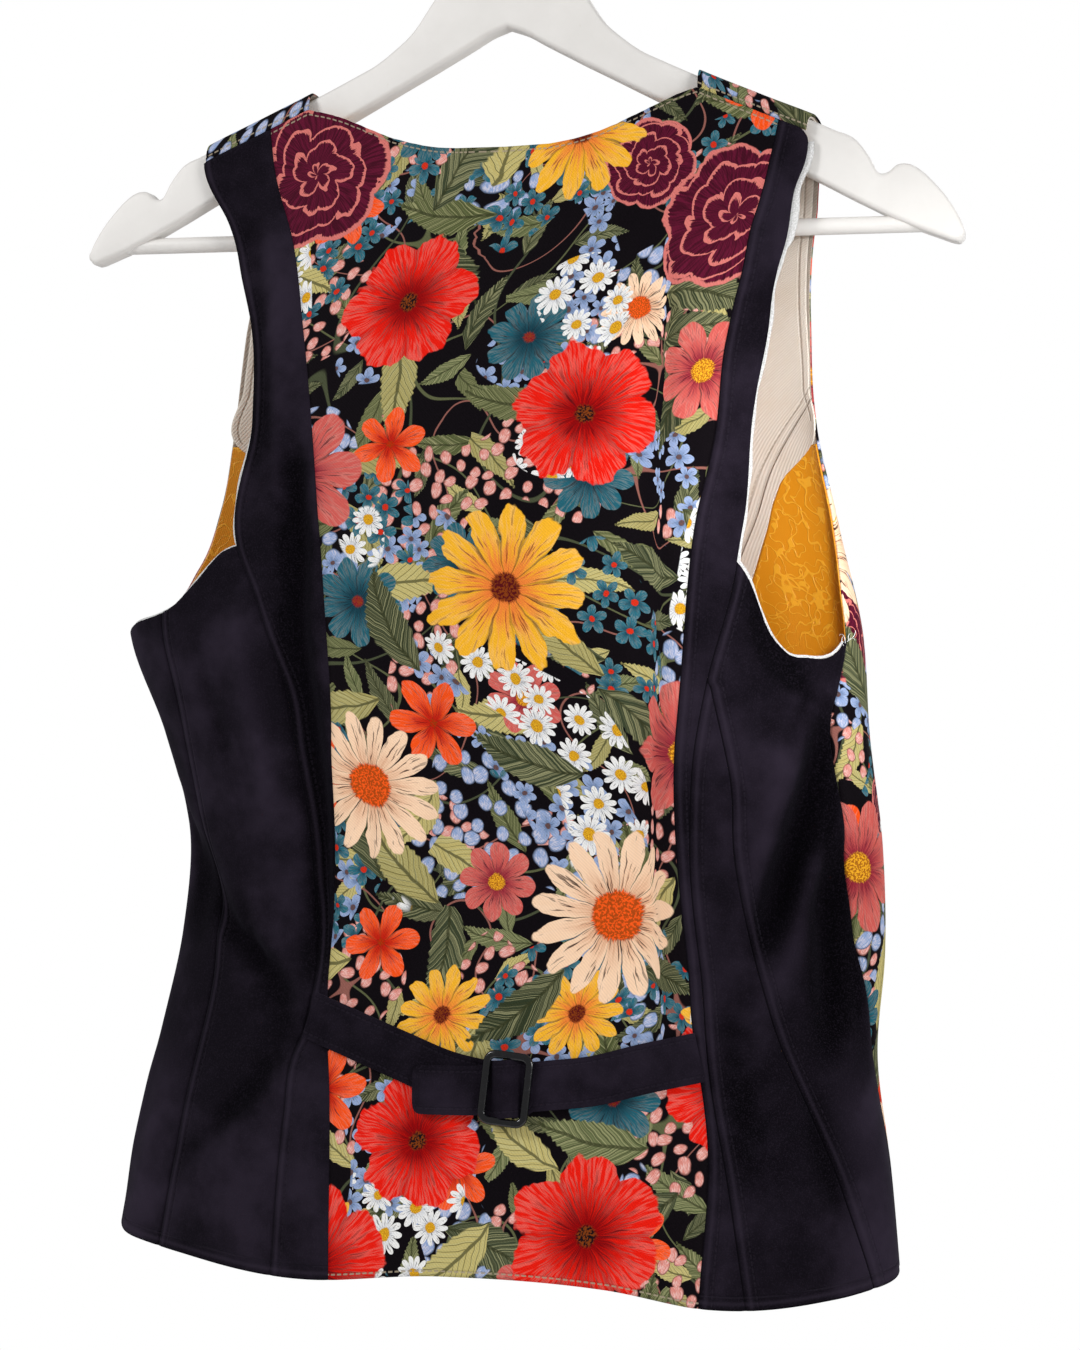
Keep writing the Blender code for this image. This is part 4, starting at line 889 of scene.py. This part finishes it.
def inner_edge(side, pulled_back):
    """The V of the neck and, below it, the edge where the fronts overlap."""
    def angle_of(drop):
        fallen = np.clip((drop - SHOULDER) / (V_POINT - SHOULDER), 0, 1)
        across = (NECK_HALF + pulled_back) * (1 - fallen ** 0.92)
        vee = on_front(side * (across + pulled_back), side, drop)
        lapped = side * (180 + LAP_HALF) - side * np.degrees(pulled_back / 0.06)
        return vee + (lapped - vee) * rise(drop, V_POINT - 0.06, V_POINT)
    return angle_of


def outer_edge(side, name, gap=0.0):
    """The front's armhole and, below the arm, its side seam."""
    def angle_of(drop):
        under_arm = EDGES["side " + name][0][0] / 1000
        along = np.where(drop < under_arm, edge("front armhole " + name, drop), edge("side " + name, drop))
        return along + side * gap / per_degree(along, drop)
    return angle_of


def front_top(angle, drop):
    return shoulder_seam(body(angle, drop)[..., 0])


def over_arm(angles, drops, off, side):
    """The arch of cloth over the wooden arm, from the shoulder seam at the back to the first front row."""
    reach = cloth(angles[0], drops[0])[:, 0]
    inner = np.abs(reach) - NECK_HALF
    back_reach = side * (NECK_HALF + inner * BACK_SHOULDER[side] / inner.max())
    arch = []
    for turn in np.linspace(math.pi, 0, ARCH_ROWS + 1)[:-1]:
        across = reach + (back_reach - reach) * turn / math.pi
        seam = shoulder_seam(across)
        back, front = body(angle_at(across, seam), seam)[:, 1], body(on_front(across, side, seam), seam)[:, 1]
        along = (front + back) / 2 + ((front - back) / 2 - off) * eased(math.cos(turn), ARCH_ROUND)
        height = SEAM_BELOW_ARM + CLOTH_OVER_ARM - off
        arch.append(points_of(across, along, -seam + height * abs(math.sin(turn)) ** ARCH_ROUND))
    return np.array(arch)

cream_twill, surface, lengths = new_material("cream twill", 0.2)
ribs = lengths.ribs(0.001, "DIAGONAL", 0.5)
down_cloth = lengths.split()[1]
near = lengths.measured("from_left").sum("MINIMUM", lengths.measured("from_right"))
edge_thread, edge_furrow = stitched(near, down_cloth, 0.004, 0.0026)
past_seam = lengths.measured("past_seam")
seam_thread, seam_furrow = stitched(past_seam, down_cloth, 0.0048, 0.0026)
high_up = (down_cloth + 0.3).sum("GREATER_THAN", 0)
seam = (0.0008 - abs(past_seam)).above(0.0, 0.0005)
furrow = (edge_furrow * high_up).sum("MAXIMUM", seam_furrow * 0.8).sum("MAXIMUM", seam * 1.8)
colour = ribs.mix((0.62, 0.56, 0.49), (0.71, 0.65, 0.58))
colour = lengths.noise(60.0, 4.0, 0.6).above(0.4, 0.3).mix(colour, (0.65, 0.58, 0.5))
# Painted shade: the twill is darker in its stitch furrows and along the seam line.
colour = (furrow * 0.25).mix(colour, (0.2, 0.14, 0.1))
threads = (edge_thread * high_up).sum("MAXIMUM", seam_thread)
finish(surface, (threads * 0.4).mix(colour, (0.36, 0.3, 0.23)), 0.9 - ribs * 0.08, ribs * 0.3 - furrow, 0.0004)

for side, name in ((1, "right"), (-1, "left")):
    faced = side_of("facing " + name)
    hung_panel("front_" + name, *(outer_edge(side, name), inner_edge(side, 0.0))[::side], front_top, 120, 200,
               PRINT, [floral_print, cream_twill], "floral_print", arch=side)
    hung_panel("facing_" + name, *(faced, inner_edge(side, 0.002))[::side], front_top, 60, 200,
               LINING, [cream_twill], "cream_twill", (), off=UNDER_PRINT, end=UNDER_HEM, arch=side, seam=FACING_SEAM)
    hung_panel("lining_" + name, *(outer_edge(side, name, 0.0006), faced)[::side], level_top(LINING_TOP[side]), 60,
               200, LINING, [mustard_satin], "mustard_lining", (), off=UNDER_PRINT + 0.0003, end=UNDER_HEM)

# A white bias edge faces each armhole of the back and stands a little past the suede.
white_edge, surface, lengths = new_material("white edge", 0.2)
threads = lengths.noise(1200.0, 2.0)
finish(surface, threads.above(0.35, 0.3).mix((0.5, 0.5, 0.49), (0.68, 0.68, 0.68)), threads * 0.1 + 0.8,
       threads * 0.3 + lengths.noise(190.0, 2.0), 0.0004)


def armhole_line(side, name):
    """The back armhole as angles and drops, from the shoulder tip to the underarm."""
    (start, seam_top), (end, unused) = TOPS[name][::side][0], TOPS[name][::side][-1]
    tip = float(shoulder_seam(side * (NECK_HALF + BACK_SHOULDER[side]))) + (TIP_ROUND if side > 0 else 0.001)
    upper = np.linspace(tip, seam_top / 1000, 110)[:-1]
    lower = start + (end - side * 1.0 - start) * np.linspace(0, 1, 60)
    angles = np.concatenate([edge("strip " + name, upper), lower])
    return angles, np.concatenate([upper, drop_round(TOPS[name], lower)])


def stepped(angles, drops, distance):
    """A line on the body moved sideways along the cloth."""
    scale = per_degree(angles, drops)
    across, down = np.gradient(angles) * scale, np.gradient(drops)
    length = np.hypot(across, down)
    return angles + distance * down / length / scale, drops - distance * across / length


def run_along(points):
    """Lengths along a line from its first point."""
    return np.concatenate([[0], np.cumsum(size_of(np.diff(points, axis=0)))])


for side, name in ((1, "right"), (-1, "left")):
    line = armhole_line(side, name)
    distances = np.linspace(-0.005, 0.0013, 7) * side
    shown = 1.0 if side > 0 else rise(line[1], 0.285, 0.315)
    shown = shown * (1 + 0.25 * np.sin(line[1] * 190) * np.sin(line[1] * 71))
    wide_above = 0.0016 * (1 - rise(line[1], 0.219, 0.222)) if side > 0 else 0
    moved = wide_above - side * 0.0022 * (1 - shown)
    rows = [cloth(*stepped(*line, distance + moved), -SUEDE - 0.0002) for distance in distances]
    grid = np.stack(rows[::side], axis=1)
    place = points_of(distances[::side], -run_along(grid[:, 3])[:, None])
    sheet_piece("armhole_facing_" + name, grid, 0.001, place, {}, [white_edge])

# The back belt is two bands of the same suede, turned in and stitched along both edges.
# The right one goes through the buckle and its rounded end lies over the left one.
# Each row gives a distance across, the drop and how far off the cloth it lies.
BELT_WIDTH, END_ROUND = 0.0225, 0.0045
LEFT_STRAP = ((-79, 583, 2.4), (-56, 590.5, 2.5), (-31, 599, 2.6), (-7, 607, 2.6), (8, 609.8, 2.6),
              (24.5, 611.6, 2.6))
RIGHT_STRAP = ((-23.5, 614, 4.5), (8, 612.8, 4.5), (15.4, 612.1, 4.5), (19, 611.7, 8.5), (25, 611, 8.5),
               (28.6, 610.6, 4.5), (36, 609.7, 4.4), (45, 608.6, 3.6), (60.5, 606.5, 2.8), (85, 600, 2.6),
               (109, 594.5, 2.4))

belt_suede = suede("belt suede", ("from_edge",), 0.0028, 0, False)


def strap_point(across, drop, off):
    angle = angle_at(across, drop)
    return body(angle, drop) + outward(angle, drop) * np.asarray(off)[..., None]


def rounded_step(at, places, values):
    """Heights read off a table, with the bends eased."""
    fine = np.linspace(places[0], places[-1], 400)
    easing = np.hanning(15)
    padded = np.pad(np.interp(fine, places, values), 7, mode="edge")
    return np.interp(at, fine, np.convolve(padded, easing / easing.sum(), mode="valid"))


for name, table in (("belt_left", LEFT_STRAP), ("belt_right", RIGHT_STRAP)):
    places, drops, offs = np.transpose(table) / 1000
    round_end = table is RIGHT_STRAP
    along = np.linspace(0, 1, 130)
    if round_end:
        along = along * rise(along, -0.9, 1.0)
    at = places[0] + along * (places[-1] - places[0])
    drop, off = smooth(places, drops, at), rounded_step(at, places, offs)
    slope = np.arctan(np.gradient(drop, at))
    half_width = np.full_like(at, BELT_WIDTH / 2)
    if round_end:
        half_width = half_width * (1 + 0.17 * rise(at, 0.0105, 0.0145) * (1 - rise(at, 0.0295, 0.0335)))
        from_end = np.clip((at - at[0]) / END_ROUND, 0, 1)
        half_width = half_width - END_ROUND * (1 - np.sqrt(1 - (1 - from_end) ** 2))
    shares = np.linspace(-1, 1, 21)[:, None]
    half = half_width * shares
    crown = 0.0003 * (1 - shares ** 2)
    grid = strap_point(at - np.sin(slope) * half, drop + np.cos(slope) * half, off + crown)
    run = run_along(grid[10])
    place = points_of(run, -shares * BELT_WIDTH / 2)
    near = np.minimum(half_width * (1 - abs(shares)), run if round_end else 1.0)
    strap = sheet_piece(name, grid, STRAP, place, {"from_edge": near}, [belt_suede])
    soften = strap.modifiers.new("turned edge", "BEVEL")
    soften.width, soften.segments, soften.limit_method = 0.0004, 2, "ANGLE"

# The buckle is a cast frame of black metal, rounded and a little domed, with a flat bar
# across its back that the strap goes over.
BUCKLE_ACROSS, BUCKLE_DROP, BUCKLE_OFF, BUCKLE_TURN = 0.022, 0.6114, 0.0051, math.radians(-5.0)
BUCKLE_WIDTH, BUCKLE_HEIGHT, BUCKLE_THICK, BUCKLE_ROUND = 0.024, 0.034, 0.0026, 0.0037


def closed_form(name, rings, material, stands_for_node=True):
    """A closed piece from rings of points, each ring all the way round, on the node of its name."""
    form = laid_grid(np.concatenate([rings, rings[:, :1]], axis=1))[0]
    bmesh.ops.remove_doubles(form, verts=form.verts, dist=0.00002)
    bmesh.ops.recalc_face_normals(form, faces=form.faces)
    return made_piece(name + "_fine", form, [material], name if stands_for_node else None)


def circle(count):
    """Angles all the way round."""
    return np.radians(np.linspace(0, 360, count + 1)[:-1])


def shut(rings):
    """Rings of points, with those at both ends drawn together."""
    middles = rings.mean(axis=1, keepdims=True) + 0 * rings
    return np.concatenate([middles[:1], rings, middles[-1:]])


def rounded_outline(width, height, corner, to_corner):
    """Points round a rectangle with rounded corners, anticlockwise from its right side."""
    turns = np.radians(np.linspace(0, 90, to_corner))
    x, y = corner * np.cos(turns), corner * np.sin(turns)
    half, tall = width / 2 - corner, height / 2 - corner
    return np.concatenate([points_of(x + half, y + tall), points_of(-y - half, x + tall),
                           points_of(-x - half, -y - tall), points_of(y + half, -x - tall)])


def placed(points, centre, normal, turn=0.0):
    """Points drawn flat, with z outwards, set on the cloth at a centre."""
    across = np.cross((0, 0, 1), normal)
    across = across / np.linalg.norm(across)
    upward = np.cross(normal, across)
    c, s = math.cos(turn), math.sin(turn)
    x, y, z = np.moveaxis(points, -1, 0)[..., None]
    return centre + (x * c - y * s) * across + (x * s + y * c) * upward + z * normal

black_metal, surface, lengths = new_material("black metal", 0.5)
rubbed = lengths.spot().noise(420.0, 3.0, 0.6, flat=False)
finish(surface, (rubbed.above(0.58, 0.16) * 0.5).mix((0.003, 0.003, 0.004), (0.02, 0.02, 0.022)),
       rubbed * 0.16 + 0.08, rubbed, 0.0001)

section = circle(16)
middle_line = rounded_outline(BUCKLE_WIDTH - BUCKLE_ROUND, BUCKLE_HEIGHT - BUCKLE_ROUND, 0.0038, 12)
heading = np.roll(middle_line, -1, axis=0) - np.roll(middle_line, 1, axis=0)
outwards = points_of(heading[:, 1], -heading[:, 0]) / size_of(heading)[:, None]
flat_frame = middle_line + outwards * eased(np.cos(section), 0.75)[:, None, None] * BUCKLE_ROUND / 2
x, y = np.moveaxis(flat_frame, -1, 0)
domed = eased(np.sin(section), 0.75)[:, None] * BUCKLE_THICK / 2 - 0.00022 * (x / (BUCKLE_WIDTH / 2)) ** 2
frame_points = points_of(x, y, domed)
bar_section = rounded_outline(0.0024, 0.0008, 0.0003, 5)
ends = np.linspace(-1, 1, 9)[:, None] * (BUCKLE_HEIGHT - BUCKLE_ROUND) / 2
bar_points = points_of(bar_section[:, 0], ends, bar_section[:, 1])
angle = angle_at(BUCKLE_ACROSS, BUCKLE_DROP)
out = outward(angle, np.array(BUCKLE_DROP))
middle = body(angle, BUCKLE_DROP) + out * (BUCKLE_OFF + BUCKLE_THICK / 2)
closed_form("buckle", placed(np.concatenate([frame_points, frame_points[:1]]), middle, out, BUCKLE_TURN),
            black_metal)
middle = middle - out * (BUCKLE_THICK / 2 - 0.00045)
closed_form("buckle_bar", placed(shut(bar_points), middle, out, BUCKLE_TURN),
            black_metal, stands_for_node=False)

# Four plain black buttons close the front, each a turned disc with a raised rim and four
# holes, sewn on with black thread.
button_plastic, surface, lengths = new_material("button", 0.5)
u, v, unused = lengths.split()
holes = ((abs(u) - 0.0013) ** 2 + (abs(v) - 0.0013) ** 2) ** 0.5
# The holes are painted near black: the black thread in them, and painted shade for their depth.
hole = (0.0008 - holes).above(0.0, 0.0001)
cloudy = lengths.noise(260.0, 2.0)
finish(surface, hole.mix(cloudy.mix((0.01, 0.01, 0.012), (0.03, 0.028, 0.03)), (0.002, 0.002, 0.002)),
       cloudy * 0.15 + 0.22, hole * -1 + cloudy * 0.03, 0.0006)
BUTTON_DROPS = (0.44, 0.5, 0.56, 0.62)
BUTTON_PROFILE = ((0, 0.6), (4.2, 0.6), (5.2, 0.9), (6.2, 1.4), (7.0, 1.5), (7.4, 1.2), (7.5, 0.2), (7.4, -0.9),
                  (7.0, -1.4), (0, -1.4))
reach, height = np.transpose(BUTTON_PROFILE)[..., None] / 1000
flat_button = points_of(reach * np.cos(circle(40)), reach * np.sin(circle(40)), height)
for number, drop in enumerate(BUTTON_DROPS, start=1):
    out, middle = outward(180.0, np.array(drop)), body(180.0, drop)
    grid = placed(flat_button, middle + out * (LAP_RISE + 0.0019), out)
    button = closed_form("button_%d" % number, grid, button_plastic)
    level = button.data.uv_layers.new(name="cloth").data
    for corner, loop in enumerate(button.data.loops):
        point = button.data.vertices[loop.vertex_index].co
        level[corner].uv = (point[0] - middle[0], point[2] - middle[2])

# The hanger is a flat board of beech in one with its two arms, sanded round at the edges and
# painted white. A round dowel between its ends carries trousers.
BOARD, BOARD_ROUND, BAR_RADIUS, BAR_HALF, BAR_DROP = 0.012, 0.0028, 0.004, 0.2115, 0.2055
NOTCHES, ARM_END = 0.165, 0.2225

white_paint, surface, lengths = new_material("white paint", 0.5)
brushed = lengths.spot().noise(55.0, 4.0, 0.6, flat=False)
bare = lengths.spot().noise(160.0, 3.0, 0.6, flat=False).above(0.7, 0.06) * 0.35
finish(surface, bare.mix(brushed.mix((0.665, 0.645, 0.62), (0.75, 0.73, 0.705)), (0.62, 0.58, 0.52)),
       brushed * 0.2 + 0.4, brushed, 0.0003)


def levelled(points):
    """The hanger hangs a little turned about its pivot."""
    x, y, z = np.moveaxis(points, -1, 0)
    c, s, z = math.cos(TILT), math.sin(TILT), z + PIVOT
    return points_of(x * c + z * s, y, z * c - x * s - PIVOT)

half_arm = np.concatenate([np.linspace(0, NOTCHES, 70)[:-1], np.linspace(NOTCHES, ARM_END, 110)])
arm = np.concatenate([-half_arm[:0:-1], half_arm])
board_rings = []
for across, high, low in zip(arm, board_edge("top", arm), board_edge("under", arm)):
    outline = rounded_outline(BOARD, low - high, min(BOARD_ROUND, (low - high) * 0.42), 7)
    board_rings.append(points_of(across, outline[:, 0], outline[:, 1] - (low + high) / 2))
closed_form("hanger_board", levelled(shut(np.array(board_rings))), white_paint)
reach = np.array([0, 1, 1, 0])[:, None] * BAR_RADIUS
ends = np.array([-1, -1, 1, 1])[:, None] * BAR_HALF
dowel = points_of(ends, reach * np.cos(circle(40)), reach * np.sin(circle(40)) - BAR_DROP)
bar = closed_form("trouser_bar", levelled(dowel), white_paint)
bar.data.set_sharp_from_angle(angle=math.radians(40))

# The hook is one bent wire of polished steel, screwed into the middle of the board.
WIRE, HOOK_RADIUS, HOOK_BEND, BEND_START = 0.00175, 0.021, 0.026, math.radians(220)

steel, surface, lengths = new_material("steel", 0.5)
drawn = lengths.spot().noise(600.0, 2.0, flat=False)
finish(surface, drawn.mix((0.55, 0.55, 0.56), (0.72, 0.72, 0.73)), drawn * 0.15 + 0.18, drawn, 0.00005)
plug(surface["Metallic"], 1.0)

bends = np.radians(np.linspace(205, -50, 60))
eye = HOOK_RADIUS * points_of(np.cos(bends), np.sin(bends)) + (0, WIRE - HOOK_RADIUS)
turns = np.linspace(BEND_START, math.radians(270) - TILT, 20)[1:]
neck = points_of(np.sin(turns) - math.sin(BEND_START), math.cos(BEND_START) - np.cos(turns))
above = PIVOT - BOARD_EDGE["top"][0] / 1000 - 0.004
in_board = [[above * math.sin(TILT), above * math.cos(TILT) - PIVOT]]
wire = np.concatenate([eye, eye[-1] + HOOK_BEND * neck, in_board])
heading = np.gradient(wire, axis=0)
heading = heading / size_of(heading)[:, None]
tip = np.sqrt(np.concatenate([[0, 0.35, 0.75], np.ones(len(wire) - 4), [0]]))[:, None]
ring_x, ring_y = WIRE * tip * np.cos(circle(20)), WIRE * tip * np.sin(circle(20))
rings = points_of(wire[:, :1] - heading[:, 1:] * ring_x, ring_y, wire[:, 1:] + heading[:, :1] * ring_x)
closed_form("hook", rings, steel)

# A few white threads have frayed out of the edging under the right arm.
# Each has its angle round the body, its length, how far it leans and how it curls.
LOOSE_THREADS = ((73.4, 0.0055, -0.9, 1.6), (74.2, 0.0085, -0.3, -2.2), (75.0, 0.005, 0.5, 2.8),
                 (75.6, 0.007, 1.1, -1.4), (76.0, 0.004, -0.6, 2.4))
loose_thread, surface, lengths = new_material("loose thread", 0.2)
fuzz = lengths.spot().noise(3000.0, 1.0, flat=False)
plug(surface["Base Color"], fuzz.mix((0.7, 0.7, 0.68), (0.86, 0.86, 0.85)))
plug(surface["Roughness"], 0.85)
chance = np.random.default_rng(7)
run = np.linspace(0, 1, 16)
reach = 0.00016 * np.sqrt(1 - np.clip(run, 0, 0.999) ** 6)[:, None, None]
x, y = np.cos(circle(6))[:, None], np.sin(circle(6))[:, None]
for number, (angle, length, lean, curl) in enumerate(LOOSE_THREADS, start=1):
    drop = np.array(float(drop_round(TOPS["right"], angle)))
    out = outward(angle, drop)
    across = np.cross((0, 0, 1), out)
    way = lean + curl * run ** 2
    aside, up = (np.cumsum(part(way))[:, None] * length / 16 for part in (np.sin, np.cos))
    clear = 0.0006 + 0.0016 * run[:, None] * chance.uniform(0.5, 1.4)
    line = cloth(angle, drop) + aside * across + up * (0, 0, 1) + clear * out
    rings = line[:, None] + reach * (x * across + y * out)
    closed_form("loose_thread_%d" % number, shut(rings), loose_thread, stands_for_node=False)
